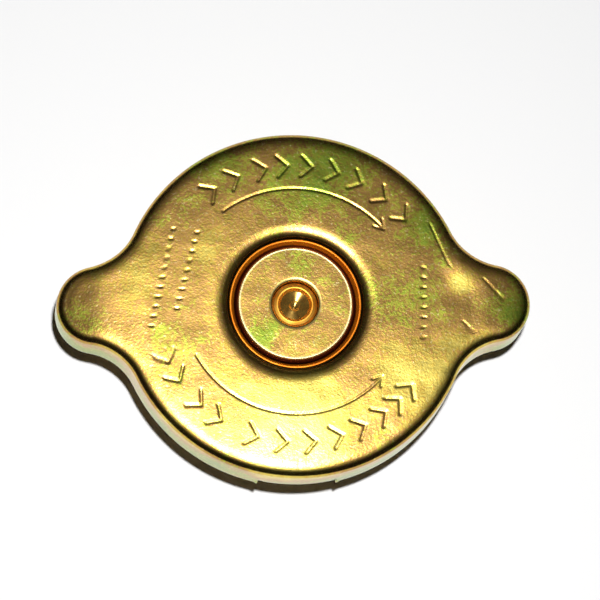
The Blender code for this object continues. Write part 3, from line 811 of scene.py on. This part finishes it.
def rounded(corners):
    """A closed section's (radius, height) points, each corner given as (radius, height, fillet)."""
    points = []
    for i, (x, z, fillet) in enumerate(corners):
        here = Vector((x, z))
        if fillet == 0:
            points.append(here)
            continue
        before = Vector(corners[i - 1][:2]) - here
        after = Vector(corners[(i + 1) % len(corners)][:2]) - here
        half = before.angle(after) / 2
        cut = min(fillet / math.tan(half), NEARLY_HALF * before.length, NEARLY_HALF * after.length)
        fillet = cut * math.tan(half)
        start = here + before.normalized() * cut
        end = here + after.normalized() * cut
        centre = here + (before.normalized() + after.normalized()).normalized() * fillet / math.sin(half)
        turn = (start - centre).angle_signed(end - centre)
        for k in range(BEND_STEPS + 1):
            points.append(centre + Matrix.Rotation(-turn * k / BEND_STEPS, 2) @ (start - centre))
    return points


def turned(name, points):
    """A closed section of (radius, height) points turned round the cap's axis."""
    shape = bmesh.new()
    section = [shape.verts.new((max(p[0], 0), 0, p[1])) for p in points]
    edges = [shape.edges.new((a, b)) for a, b in zip(section, section[1:] + section[:1])]
    bmesh.ops.spin(
        shape,
        geom=section + edges,
        axis=(0, 0, 1),
        cent=(0, 0, 0),
        angle=math.tau,
        steps=TURN_STEPS,
        use_merge=True,
    )
    bmesh.ops.remove_doubles(shape, verts=shape.verts, dist=MERGE_DISTANCE)
    on_axis = [edge for edge in shape.edges if not edge.link_faces]
    bmesh.ops.delete(shape, geom=on_axis, context="EDGES")
    return finished_mesh(name, shape, SHARP_TURN)


def sheet_section(path, sheet):
    """A closed section from (radius, height, bend) corners along its outer face, the sheet on the right."""
    places = [Vector(corner[:2]) for corner in path]
    ways = [(b - a).normalized() for a, b in zip(places, places[1:])]
    rights = [Vector((way.y, -way.x)) for way in ways]
    inner = []
    for i, (place, corner) in enumerate(zip(places, path)):
        if i in (0, len(path) - 1):
            side = rights[min(i, len(ways) - 1)]
            inner.append((*(place + side * sheet), RAW_SHEET_EDGE))
            continue
        middle = (rights[i - 1] + rights[i]).normalized()
        offset = middle * sheet / middle.dot(rights[i])
        turns_right = ways[i - 1].cross(ways[i]) < 0
        bend = max(corner[2] - sheet, RAW_SHEET_EDGE) if turns_right else corner[2] + sheet
        inner.append((*(place + offset), bend))
    ends = [(*path[0][:2], RAW_SHEET_EDGE), *path[1:-1], (*path[-1][:2], RAW_SHEET_EDGE)]
    return rounded(ends + inner[::-1])


COPPER_COLOURS = ("F4941E", "E67A12")
COPPER_BLOTCH = 0.004
COPPER_LINES = 0.000002
COPPER_SHADE_COLOUR = "2C0C04"
COPPER_ROUGHNESS = 0.45
COPPER_SHINE = 0.7
SHADE_TOP = 0.0004
TURNING_PITCH = 0.001131
WAVE_RADIANS = 20
BLOTCH_ROUGHNESS = 0.6
SPUN_SPAN = (0.35, 0.65)


def mottle(tree, place, size, detail, colours, span):
    """Colours a finish in soft blotches of this size, and gives back the noise that they follow."""
    cloud = add_node(
        tree,
        "TexNoise",
        None,
        {"Vector": place, "Scale": 1 / size, "Detail": detail, "Roughness": BLOTCH_ROUGHNESS},
    )
    colour = add_node(tree, "ValToRGB", None, {"Fac": cloud.outputs["Fac"]})
    for stop, code, position in zip(colour.color_ramp.elements, colours, span):
        stop.position = position
        stop.color = linear(code)
    tree.links.new(colour.outputs["Color"], tree.nodes["Principled BSDF"].inputs["Base Color"])
    return cloud.outputs["Fac"]


def spun_metal(name, colours, roughness, blotch, line_height):
    """Metal with rings left by turning or spinning. In life they are too fine to show, so they are
    drawn about a millimetre apart. The wave texture turns through 20 radians in a unit of length."""
    material, tree, shader, place = new_finish(name, 1)
    shader.inputs["Roughness"].default_value = roughness
    mottle(tree, place, blotch, 4, colours, SPUN_SPAN)
    scale = math.tau / (TURNING_PITCH * WAVE_RADIANS)
    lines = add_node(
        tree,
        "TexWave",
        {"wave_type": "RINGS", "rings_direction": "Z"},
        {"Vector": place, "Scale": scale, "Distortion": 0.6, "Detail": 2},
    )
    bump = add_node(
        tree, "Bump", None, {"Strength": 1, "Distance": line_height, "Height": lines.outputs["Fac"]}
    )
    tree.links.new(bump.outputs["Normal"], shader.inputs["Normal"])
    return material


ring_top = ring_low.z + RING_SHEET
ring_wall_inside = ring_high.x - RING_SHEET
ring_section = rounded([
    (RING_INSIDE, ring_top, RAW_SHEET_EDGE),
    (ring_wall_inside - RING_LEAN, ring_top, RING_BEND),
    (ring_wall_inside, ring_high.z, RING_SHEET / 2),
    (ring_high.x, ring_high.z, RING_SHEET / 2),
    (ring_high.x - RING_LEAN, ring_low.z, RING_BEND),
    (RING_INSIDE, ring_low.z, RAW_SHEET_EDGE),
])
copper = spun_metal("spun_copper_strip", COPPER_COLOURS, COPPER_ROUGHNESS, COPPER_BLOTCH, COPPER_LINES)
tree = copper.node_tree
shader = tree.nodes["Principled BSDF"]
height = add_node(tree, "SeparateXYZ", None, {0: add_node(tree, "TexCoord").outputs["Object"]})
# The flat corner under the disc's edge is painted dark: painted shade.
painted_shade = add_node(
    tree,
    "MapRange",
    {"interpolation_type": "SMOOTHSTEP"},
    {
        "Value": height.outputs["Z"],
        "From Min": ring_top + SHADE_TOP,
        "From Max": ring_top + RAW_SHEET_EDGE,
    },
).outputs["Result"]
unshaded_colour = shader.inputs["Base Color"].links[0].from_socket
shaded_colour = add_node(
    tree, "Mix", {"data_type": "RGBA"}, {"Factor": painted_shade, 6: unshaded_colour, 7: linear(COPPER_SHADE_COLOUR)}
)
tree.links.new(shaded_colour.outputs[2], shader.inputs["Base Color"])
shine = add_node(tree, "MapRange", None, {"Value": painted_shade, "To Min": COPPER_SHINE})
tree.links.new(shine.outputs["Result"], shader.inputs["Metallic"])
add_piece("copper_ring", turned("copper_ring", ring_section), copper, "copper", "crown", "friction_ring")

# Centre disc: a steel pressing with a turned-down edge and a deep dimple for the rivet's head, which
# goes through the crown's hole. It is plated as the crown is, and painted pale along its edge and
# round the dimple's mouth, as wear and painted highlight.
DISC_SHEET = 0.0007
DISC_EDGE = 0.0005
DISC_HOLLOW = 0.00005
FACE_MARGIN = 0.0006
DISC_LIP = 0.0004
DIMPLE_RADIUS = 0.00402
DIMPLE_EDGE = 0.0002
DIMPLE_OUTSIDE = 0.00505
DISH_RADIUS = 0.00447
DISH_DEPTH = 0.00026
DISH_BEND = 0.0007
MOUTH_HIGHLIGHT_WIDTH = 0.00028
SHANK_HOLE = 0.0032
SEAT_GAP = 0.0003
DISC_PATCHES = (
    (-0.0062, -0.0055, 0.006, 0.45),
    (0.001, 0.007, 0.006, 0.35),
    (-0.006, 0.004, 0.006, 0.05),
    (0.006, -0.002, 0.007, -0.05),
)
disc_low, disc_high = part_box("centre_disc")
dimple_floor = disc_low.z + DISC_SHEET
disc_edge = ring_top + SEAT_GAP
# Pale rings along the edge and round the dimple's mouth: wear and painted highlight.
worn_highlight_rings = (
    (disc_high.x - DISC_LIP / 2, DISC_LIP, WORN_HIGHLIGHT_COLOUR),
    (DISH_RADIUS - MOUTH_HIGHLIGHT_WIDTH / 2, MOUTH_HIGHLIGHT_WIDTH, MOUTH_HIGHLIGHT_COLOUR),
)
disc_section = rounded([
    (SHANK_HOLE, dimple_floor, RAW_SHEET_EDGE),
    (DIMPLE_RADIUS, dimple_floor, DISC_SHEET / 3),
    (DIMPLE_RADIUS, disc_high.z - DISH_DEPTH, DIMPLE_EDGE),
    (DISH_RADIUS, disc_high.z - DISC_HOLLOW, DISH_BEND),
    (DISH_RADIUS + FACE_MARGIN, disc_high.z - DISC_HOLLOW, 0),
    (disc_high.x - DISC_LIP - FACE_MARGIN, disc_high.z - DISC_HOLLOW / 2, 0),
    (disc_high.x - DISC_LIP, disc_high.z - DISC_HOLLOW / 2, DISC_LIP),
    (disc_high.x - DISC_LIP / 2, disc_high.z, DISC_LIP / 2),
    (disc_high.x, disc_high.z - DISC_LIP / 2, DISC_LIP / 2),
    (disc_high.x, disc_edge, RAW_SHEET_EDGE),
    (disc_high.x - DISC_SHEET, disc_edge, RAW_SHEET_EDGE),
    (disc_high.x - DISC_SHEET, disc_high.z - DISC_SHEET, DISC_EDGE),
    (DIMPLE_OUTSIDE, disc_high.z - DISC_SHEET, DISC_SHEET / 3),
    (DIMPLE_OUTSIDE, disc_low.z, DISC_SHEET),
    (SHANK_HOLE, disc_low.z, RAW_SHEET_EDGE),
])
disc_finish = yellow_zinc("yellow_chromated_disc", DISC_PATCHES, worn_highlight_rings)
add_piece(
    "centre_disc_pressing", turned("centre_disc", disc_section), disc_finish, "yellow_zinc",
    "valve_carrier", "centre_disc",
)

# Centre rivet: turned brass, its head spread into a shallow bowl by the riveting punch, which leaves
# a rolled rim and a small pit. It holds disc, diaphragm, bell and washer together.
RIVET_SHANK_RADIUS = 0.0029
RIVET_HEAD = 0.0009
RIVET_FOOT_BEND = 0.00036
# The rolled rim from the bowl's side outwards: in from the head's edge, down from its top, fillet.
RIM_SLOPE = (
    (0.00105, 0.00004, 0.0002),
    (0.0008, 0, 0.0003),
    (0.0003, 0.00022, 0.0003),
    (0, 0.00062, 0.0002),
)
RIVET_BOWL_RADIUS = 0.0025
RIVET_BOWL_EDGE = 0.00075
RIVET_BOWL_DEPTH = 0.0011
RIVET_BOWL_BEND = 0.0003
RIVET_PIT_RADIUS = 0.00095
RIVET_PIT_DEPTH = 0.0018
RIVET_PIT_BEND = 0.00015
RIVET_EDGE = 0.0001
BRASS_COLOURS = ("F2B64A", "E0962E")
BRASS_BLOTCH = 0.002
BRASS_LINES = 0.0000002
BRASS_ROUGHNESS = 0.48
BRASS_SHINE = 0.88
BOWL_ROUGHNESS = 0.25
BOWL_SHINE = 0.8
BOWL_STREAK = 0.95
BOWL_STREAK_TURN = 0.25
BOWL_COLOURS = ("C09A48", "9A7434")
BOWL_BLOTCH = 0.001

rivet_low, rivet_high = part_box("centre_rivet")
diaphragm_low, diaphragm_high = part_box("spring_diaphragm")
washer_low, washer_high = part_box("rivet_washer")
head_bottom = rivet_high.z - RIVET_HEAD
foot_top = rivet_low.z + RIVET_HEAD
rivet_outside = rounded([
    *[(rivet_high.x - inward, rivet_high.z - down, fillet) for inward, down, fillet in RIM_SLOPE],
    (rivet_high.x, head_bottom, RIVET_EDGE),
    (RIVET_SHANK_RADIUS, head_bottom, 0),
    (RIVET_SHANK_RADIUS, foot_top, 0),
    (rivet_high.x, foot_top, RIVET_EDGE),
    (rivet_high.x, rivet_low.z, RIVET_FOOT_BEND),
    (0, rivet_low.z, 0),
    (0, rivet_high.z - RIVET_PIT_DEPTH, 0),
    (RIVET_PIT_RADIUS, rivet_high.z - RIVET_BOWL_DEPTH, RIVET_PIT_BEND),
    (RIVET_BOWL_RADIUS, rivet_high.z - RIVET_BOWL_EDGE, RIVET_BOWL_BEND),
])
rivet_mesh = turned("brass_rivet", rivet_outside)
brass = spun_metal("turned_brass", BRASS_COLOURS, BRASS_ROUGHNESS, BRASS_BLOTCH, BRASS_LINES)
brass.node_tree.nodes["Principled BSDF"].inputs["Metallic"].default_value = BRASS_SHINE
add_piece("brass_rivet", rivet_mesh, brass, "rivet_brass", "valve_carrier", "centre_rivet")

# The bowl's wall is drawn out by the punch, so the lamp shows in it as one streak towards the pit.
bowl_brass = spun_metal("punched_brass", BOWL_COLOURS, BOWL_ROUGHNESS, BOWL_BLOTCH, BRASS_LINES)
shader = bowl_brass.node_tree.nodes["Principled BSDF"]
shader.inputs["Metallic"].default_value = BOWL_SHINE
shader.inputs["Anisotropic"].default_value = BOWL_STREAK
shader.inputs["Anisotropic Rotation"].default_value = BOWL_STREAK_TURN
tangent = add_node(bowl_brass.node_tree, "Tangent", {"direction_type": "RADIAL", "axis": "Z"})
bowl_brass.node_tree.links.new(tangent.outputs["Tangent"], shader.inputs["Tangent"])
rivet_mesh.materials.append(bowl_brass)
for face in rivet_mesh.polygons:
    middle = face.center
    in_bowl = math.hypot(middle.x, middle.y) < RIVET_BOWL_RADIUS and middle.z > head_bottom - RIVET_HEAD
    face.material_index = 1 if in_bowl else 0

# Spring diaphragm: a disc of rolled phosphor bronze strip, dished at its rim, which presses on the
# neck's top and keeps the tabs up against the cams.
DIAPHRAGM_SHEET = 0.0004
DIAPHRAGM_RIM = 0.0045
BRONZE_COLOURS = ("C49A5E", "A87C42")
BRONZE_BLOTCH = 0.006
BRONZE_LINES = 0.000001
BRONZE_ROUGHNESS = 0.3
diaphragm_step = diaphragm_high.x - 2 * DIAPHRAGM_RIM
diaphragm_rim = diaphragm_high.x - DIAPHRAGM_RIM
dish = diaphragm_high.z - DIAPHRAGM_SHEET - diaphragm_low.z
diaphragm_path = [
    (SHANK_HOLE, diaphragm_high.z, 0),
    (diaphragm_step, diaphragm_high.z, DIAPHRAGM_RIM),
    (diaphragm_rim, diaphragm_high.z - dish, DIAPHRAGM_RIM),
    (diaphragm_high.x, diaphragm_high.z - dish, 0),
]
bronze = spun_metal("rolled_phosphor_bronze", BRONZE_COLOURS, BRONZE_ROUGHNESS, BRONZE_BLOTCH, BRONZE_LINES)
mesh = turned("bronze_diaphragm", sheet_section(diaphragm_path, DIAPHRAGM_SHEET))
add_piece("bronze_diaphragm", mesh, bronze, "spring_bronze", "valve_carrier", "spring_diaphragm")

# Bell: a deep drawn steel cup, mouth down, with six windows and a lip rolled in under the valve
# cup's flange. Bright zinc plated, like the washer, cup, plate and retainer below.
BELL_SHEET = 0.0007
BELL_SHOULDER = 0.0022
BELL_LIP_INSIDE = 0.01215
WINDOW_WIDTH = 0.0058
WINDOW_HEIGHT = 0.0046
WINDOW_CORNER = 0.0011
WINDOW_CORNER_STEPS = 6
WINDOW_TURNS = (0, 60, 120)
ZINC_COLOURS = ("C6C8C9", "A9ADB0")
ZINC_SPAN = (0.35, 0.7)
ZINC_ROUGHNESS = (0.22, 0.42)
ZINC_SPANGLE = 0.0022
ZINC_GRAIN = 0.00025
ZINC_GRAIN_HEIGHT = 0.000003


def fine_grain(tree, place, size, height):
    """Raises a finish in an even grain of this size and height."""
    noise = add_node(tree, "TexNoise", None, {"Vector": place, "Scale": 1 / size, "Detail": 2})
    bump = add_node(tree, "Bump", None, {"Strength": 1, "Distance": height, "Height": noise.outputs["Fac"]})
    tree.links.new(bump.outputs["Normal"], tree.nodes["Principled BSDF"].inputs["Normal"])


def bright_zinc(name):
    """Bright zinc electroplate: pale, faintly cloudy, with a fine satin from the steel under it."""
    material, tree, shader, place = new_finish(name, 1)
    cloud = mottle(tree, place, ZINC_SPANGLE, 5, ZINC_COLOURS, ZINC_SPAN)
    rough = add_node(
        tree, "MapRange", None, {"Value": cloud, "To Min": ZINC_ROUGHNESS[0], "To Max": ZINC_ROUGHNESS[1]}
    )
    tree.links.new(rough.outputs["Result"], shader.inputs["Roughness"])
    fine_grain(tree, place, ZINC_GRAIN, ZINC_GRAIN_HEIGHT)
    return material


zinc = bright_zinc("bright_zinc_plate")
bell_low, bell_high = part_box("valve_bell")
bell_path = [
    (SHANK_HOLE, bell_high.z, 0),
    (bell_high.x, bell_high.z, BELL_SHOULDER),
    (bell_high.x, bell_low.z, BELL_SHEET),
    (BELL_LIP_INSIDE, bell_low.z, 0),
]
bell_mesh = turned("drawn_bell", sheet_section(bell_path, BELL_SHEET))
bell = add_piece("drawn_bell", bell_mesh, zinc, "zinc_steel", "valve_carrier", "valve_bell")
cutters = []
for angle in WINDOW_TURNS:
    shape = bmesh.new()
    bmesh.ops.create_cube(shape, size=1)
    bmesh.ops.scale(shape, vec=(3 * bell_high.x, WINDOW_WIDTH, WINDOW_HEIGHT), verts=shape.verts)
    across = [edge for edge in shape.edges if abs(edge.verts[0].co.x - edge.verts[1].co.x) > bell_high.x]
    bmesh.ops.bevel(
        shape,
        geom=across,
        offset=WINDOW_CORNER,
        segments=WINDOW_CORNER_STEPS,
        profile=ROUND_PROFILE,
        affect="EDGES",
    )
    turn = Matrix.Rotation(math.radians(angle), 3, "Z")
    bmesh.ops.rotate(shape, cent=(0, 0, 0), matrix=turn, verts=shape.verts)
    middle = (bell_low.z + BELL_SHEET + bell_high.z) / 2
    bmesh.ops.translate(shape, vec=(0, 0, middle), verts=shape.verts)
    window = bpy.data.objects.new(f"window_{angle}", finished_mesh(f"window_{angle}", shape))
    bpy.context.scene.collection.objects.link(window)
    cut = bell.modifiers.new(window.name, "BOOLEAN")
    cut.operation = "DIFFERENCE"
    cut.object = window
    cutters.append(window)
bpy.context.view_layer.update()
graph = bpy.context.evaluated_depsgraph_get()
cut_mesh = bpy.data.meshes.new_from_object(bell.evaluated_get(graph))
bell.modifiers.clear()
bell.data = cut_mesh
cut_mesh.set_sharp_from_angle(angle=math.radians(SHARP_TURN))
for window in cutters:
    bpy.data.objects.remove(window, do_unlink=True)

# Rivet washer: stamped from steel sheet and zinc plated. It lies inside the bell, and the rivet's
# foot is spread over it.
WASHER_EDGE = 0.0001
washer_section = rounded([
    (SHANK_HOLE, washer_high.z, 0),
    (washer_high.x, washer_high.z, WASHER_EDGE),
    (washer_high.x, washer_low.z, WASHER_EDGE),
    (SHANK_HOLE, washer_low.z, 0),
])
washer_mesh = turned("stamped_washer", washer_section)
add_piece("stamped_washer", washer_mesh, zinc, "zinc_steel", "valve_carrier", "rivet_washer")

# Pressure spring: coiled from drawn spring wire, lightly oiled, with closed ends. It presses the
# valve down on the neck's lower seat, and shortens as the valve lifts.
PRESSURE_SPRING_RADIUS = 0.0100
PRESSURE_WIRE = 0.0018
PRESSURE_TURNS = 4.5
DEAD_TURNS = 0.75
DEAD_PITCH = 1.06
COIL_STEPS = 96
WIRE_STEPS = 20
WIRE_COLOURS = ("6E6D6E", "4A494A")
WIRE_BLOTCH = 0.0012
WIRE_LINES = 0.0000005
WIRE_ROUGHNESS = 0.32


def coiled(name, radius, wire, low, high, turns):
    """A spring's wire as a mesh tube between two heights, its end turns closed."""
    dead_pitch = wire * DEAD_PITCH
    live_turns = turns - 2 * DEAD_TURNS
    pitch = (high - low - wire - 2 * DEAD_TURNS * dead_pitch) / live_turns
    shape = bmesh.new()
    loops = []
    for i in range(round(turns * COIL_STEPS) + 1):
        turn = i / COIL_STEPS
        height = low + wire / 2 + dead_pitch * min(turn, DEAD_TURNS)
        height += pitch * min(max(turn - DEAD_TURNS, 0), live_turns)
        height += dead_pitch * max(turn - turns + DEAD_TURNS, 0)
        out = Vector((math.cos(math.tau * turn), math.sin(math.tau * turn), 0))
        loop = []
        for k in range(WIRE_STEPS):
            round_wire = math.tau * k / WIRE_STEPS
            place = out * (radius + wire / 2 * math.cos(round_wire))
            place.z = height + wire / 2 * math.sin(round_wire)
            loop.append(shape.verts.new(place))
        loops.append(loop)
    for one, other in zip(loops, loops[1:]):
        for k in range(WIRE_STEPS):
            n = (k + 1) % WIRE_STEPS
            shape.faces.new((one[k], other[k], other[n], one[n]))
    shape.faces.new(loops[0])
    shape.faces.new(loops[-1][::-1])
    return finished_mesh(name, shape)


def shorten(spring):
    """Gives a spring its own copy of its mesh."""
    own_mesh(spring)


wire = spun_metal("oiled_spring_wire", WIRE_COLOURS, WIRE_ROUGHNESS, WIRE_BLOTCH, WIRE_LINES)
spring_low, spring_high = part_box("pressure_spring")
mesh = coiled(
    "pressure_coil", PRESSURE_SPRING_RADIUS, PRESSURE_WIRE, spring_low.z, spring_high.z, PRESSURE_TURNS
)
pressure_coil = add_piece("pressure_coil", mesh, wire, "spring_steel", "valve_carrier", "pressure_spring")
shorten(pressure_coil)

# Valve cup: a drawn steel cup that carries the spring's lower end. Its flange slides inside the
# bell and stops on the bell's lip.
CUP_SHEET = 0.0007
CUP_INSIDE = 0.0112
EYELET_HOLE = 0.0057
cup_low, cup_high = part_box("valve_cup")
cup_path = [
    (EYELET_HOLE, cup_low.z + CUP_SHEET, 0),
    (CUP_INSIDE, cup_low.z + CUP_SHEET, CUP_SHEET),
    (CUP_INSIDE, cup_high.z, CUP_SHEET / 2),
    (cup_high.x, cup_high.z, 0),
]
mesh = turned("drawn_cup", sheet_section(cup_path, CUP_SHEET))
add_piece("drawn_cup", mesh, zinc, "zinc_steel", "pressure_valve", "valve_cup")

# Backing plate: a disc stamped from steel sheet and zinc plated, stiffened by a raised bead. It
# keeps the rubber seal flat.
PLATE_SHEET = 0.0008
PLATE_BEAD = 0.0006
plate_low, plate_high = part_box("backing_plate")
plate_top = plate_low.z + PLATE_SHEET
bead = plate_high.x - 3 * PLATE_SHEET
plate_path = [
    (EYELET_HOLE, plate_top, 0),
    (bead - 2 * PLATE_BEAD, plate_top, PLATE_SHEET),
    (bead, plate_high.z, PLATE_SHEET),
    (bead + 2 * PLATE_BEAD, plate_top, PLATE_SHEET),
    (plate_high.x, plate_top, 0),
]
mesh = turned("beaded_plate", sheet_section(plate_path, PLATE_SHEET))
add_piece("beaded_plate", mesh, zinc, "zinc_steel", "pressure_valve", "backing_plate")

# Pressure seal: a ring of moulded nitrile rubber with a proud face that meets the neck's seat. It
# is matt, with a trace of grey bloom and a thin parting line round its edge.
SEAL_PROUD = 0.0004
SEAL_EDGE = 0.0006
SEAL_BACK_EDGE = 0.0003
SEAL_FACE_EDGE = 0.00015
SEAL_STEP_EDGE = 0.0001
SEAL_HOLE = 0.0094
SEAL_FACE_INSIDE = 0.0133
PARTING_LINE = 0.00012
PARTING_TIP = 0.00005
RUBBER_COLOURS = ("18181A", "2B2B2C")
RUBBER_SPAN = (0.4, 0.75)
RUBBER_ROUGHNESS = 0.62
RUBBER_BLOOM = 0.004
RUBBER_GRAIN = 0.0004
RUBBER_GRAIN_HEIGHT = 0.00001


def moulded_rubber(name):
    """Moulded black nitrile: matt, with a fine mould grain and a trace of grey bloom."""
    material, tree, shader, place = new_finish(name, 0)
    shader.inputs["Roughness"].default_value = RUBBER_ROUGHNESS
    mottle(tree, place, RUBBER_BLOOM, 5, RUBBER_COLOURS, RUBBER_SPAN)
    fine_grain(tree, place, RUBBER_GRAIN, RUBBER_GRAIN_HEIGHT)
    return material


rubber = moulded_rubber("moulded_nitrile_rubber")
seal_low, seal_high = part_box("pressure_seal")
parting = (seal_low.z + seal_high.z) / 2
seal_section = rounded([
    (SEAL_HOLE, seal_high.z, RAW_SHEET_EDGE),
    (seal_high.x - PARTING_LINE, seal_high.z, SEAL_BACK_EDGE),
    (seal_high.x - PARTING_LINE, parting + PARTING_LINE, 0),
    (seal_high.x, parting, PARTING_TIP),
    (seal_high.x - PARTING_LINE, parting - PARTING_LINE, 0),
    (seal_high.x - PARTING_LINE, seal_low.z, SEAL_EDGE),
    (SEAL_FACE_INSIDE, seal_low.z, SEAL_FACE_EDGE),
    (SEAL_FACE_INSIDE, seal_low.z + SEAL_PROUD, SEAL_STEP_EDGE),
    (SEAL_HOLE, seal_low.z + SEAL_PROUD, RAW_SHEET_EDGE),
])
mesh = turned("rubber_seal", seal_section)
add_piece("rubber_seal", mesh, rubber, "black_rubber", "pressure_valve", "pressure_seal")

# Seal retainer: a turned steel ring that grips the seal from below, steps up through it, and ends
# as an eyelet rolled over the cup's floor. The vacuum valve closes on its underside.
RETAINER_SHEET = 0.0008
EYELET_BORE = 0.0046
EYELET_OUTSIDE = 0.0054
EYELET_FLANGE = 0.0070
RETAINER_STEP_INSIDE = 0.0083
EYELET_BEND = 0.0003
FLANGE_BEND = 0.0004
FLANGE_EDGE = 0.0001
GRIP_EDGE = 0.0002
retainer_low, retainer_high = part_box("seal_retainer")
vacuum_seat = seal_high.z - RETAINER_SHEET
retainer_section = rounded([
    (EYELET_BORE, retainer_high.z, EYELET_BEND),
    (EYELET_FLANGE, retainer_high.z, FLANGE_BEND),
    (EYELET_FLANGE, retainer_high.z - RETAINER_SHEET, FLANGE_EDGE),
    (EYELET_OUTSIDE, retainer_high.z - RETAINER_SHEET, 0),
    (EYELET_OUTSIDE, seal_high.z, 0),
    (RETAINER_STEP_INSIDE + RETAINER_SHEET, seal_high.z, FLANGE_BEND),
    (RETAINER_STEP_INSIDE + RETAINER_SHEET, retainer_low.z + RETAINER_SHEET, 0),
    (retainer_high.x, retainer_low.z + RETAINER_SHEET, GRIP_EDGE),
    (retainer_high.x, retainer_low.z, EYELET_BEND),
    (RETAINER_STEP_INSIDE, retainer_low.z, EYELET_BEND),
    (RETAINER_STEP_INSIDE, vacuum_seat, EYELET_BEND),
    (EYELET_BORE, vacuum_seat, EYELET_BEND),
])
mesh = turned("eyelet_retainer", retainer_section)
add_piece("eyelet_retainer", mesh, zinc, "zinc_steel", "pressure_valve", "seal_retainer")

# Vacuum valve: a turned brass disc and stem with a thin rubber washer on it, held shut by a small
# spring under a cap that the stem's end is headed over.
STEM_RADIUS = 0.0012
STEM_HOLE = 0.0015
STEM_HEAD_RADIUS = 0.0022
STEM_HEAD = 0.0006
STEM_HEAD_EDGE = 0.0004
STEM_FILLET = 0.0002
VACUUM_DISC = 0.0007
VACUUM_DISC_EDGE = 0.0002
VACUUM_SEAL_EDGE = 0.00015
vacuum_low, vacuum_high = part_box("vacuum_valve")
vacuum_disc_top = vacuum_low.z + VACUUM_DISC
vacuum_section = rounded([
    (0, vacuum_high.z, 0),
    (STEM_HEAD_RADIUS, vacuum_high.z, STEM_HEAD_EDGE),
    (STEM_HEAD_RADIUS, vacuum_high.z - STEM_HEAD, RIVET_EDGE),
    (STEM_RADIUS, vacuum_high.z - STEM_HEAD, 0),
    (STEM_RADIUS, vacuum_disc_top, STEM_FILLET),
    (vacuum_high.x, vacuum_disc_top, RIVET_EDGE),
    (vacuum_high.x, vacuum_low.z, VACUUM_DISC_EDGE),
    (0, vacuum_low.z, 0),
])
mesh = turned("brass_vacuum_valve", vacuum_section)
add_piece("brass_vacuum_valve", mesh, brass, "rivet_brass", "vacuum_valve", "vacuum_valve")

vacuum_seal_low, vacuum_seal_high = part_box("vacuum_seal")
vacuum_seal_section = rounded([
    (STEM_HOLE, vacuum_seal_high.z, RAW_SHEET_EDGE),
    (vacuum_seal_high.x, vacuum_seal_high.z, VACUUM_SEAL_EDGE),
    (vacuum_seal_high.x, vacuum_seal_low.z, VACUUM_SEAL_EDGE),
    (STEM_HOLE, vacuum_seal_low.z, RAW_SHEET_EDGE),
])
mesh = turned("rubber_vacuum_washer", vacuum_seal_section)
add_piece("rubber_vacuum_washer", mesh, rubber, "black_rubber", "vacuum_valve", "vacuum_seal")

VACUUM_SPRING_RADIUS = 0.0058
VACUUM_WIRE = 0.0005
VACUUM_TURNS = 4
coil_low, coil_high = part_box("vacuum_spring")
mesh = coiled("vacuum_coil", VACUUM_SPRING_RADIUS, VACUUM_WIRE, coil_low.z, coil_high.z, VACUUM_TURNS)
vacuum_coil = add_piece("vacuum_coil", mesh, wire, "spring_steel", "pressure_valve", "vacuum_spring")
shorten(vacuum_coil)

VACUUM_CAP_SHEET = 0.0005
cap_low, cap_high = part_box("vacuum_spring_cap")
cap_path = [
    (STEM_HOLE, cap_high.z, 0),
    (cap_high.x, cap_high.z, VACUUM_CAP_SHEET),
    (cap_high.x, cap_low.z, 0),
]
mesh = turned("spring_cap", sheet_section(cap_path, VACUUM_CAP_SHEET))
add_piece("spring_cap", mesh, zinc, "zinc_steel", "vacuum_valve", "vacuum_spring_cap")
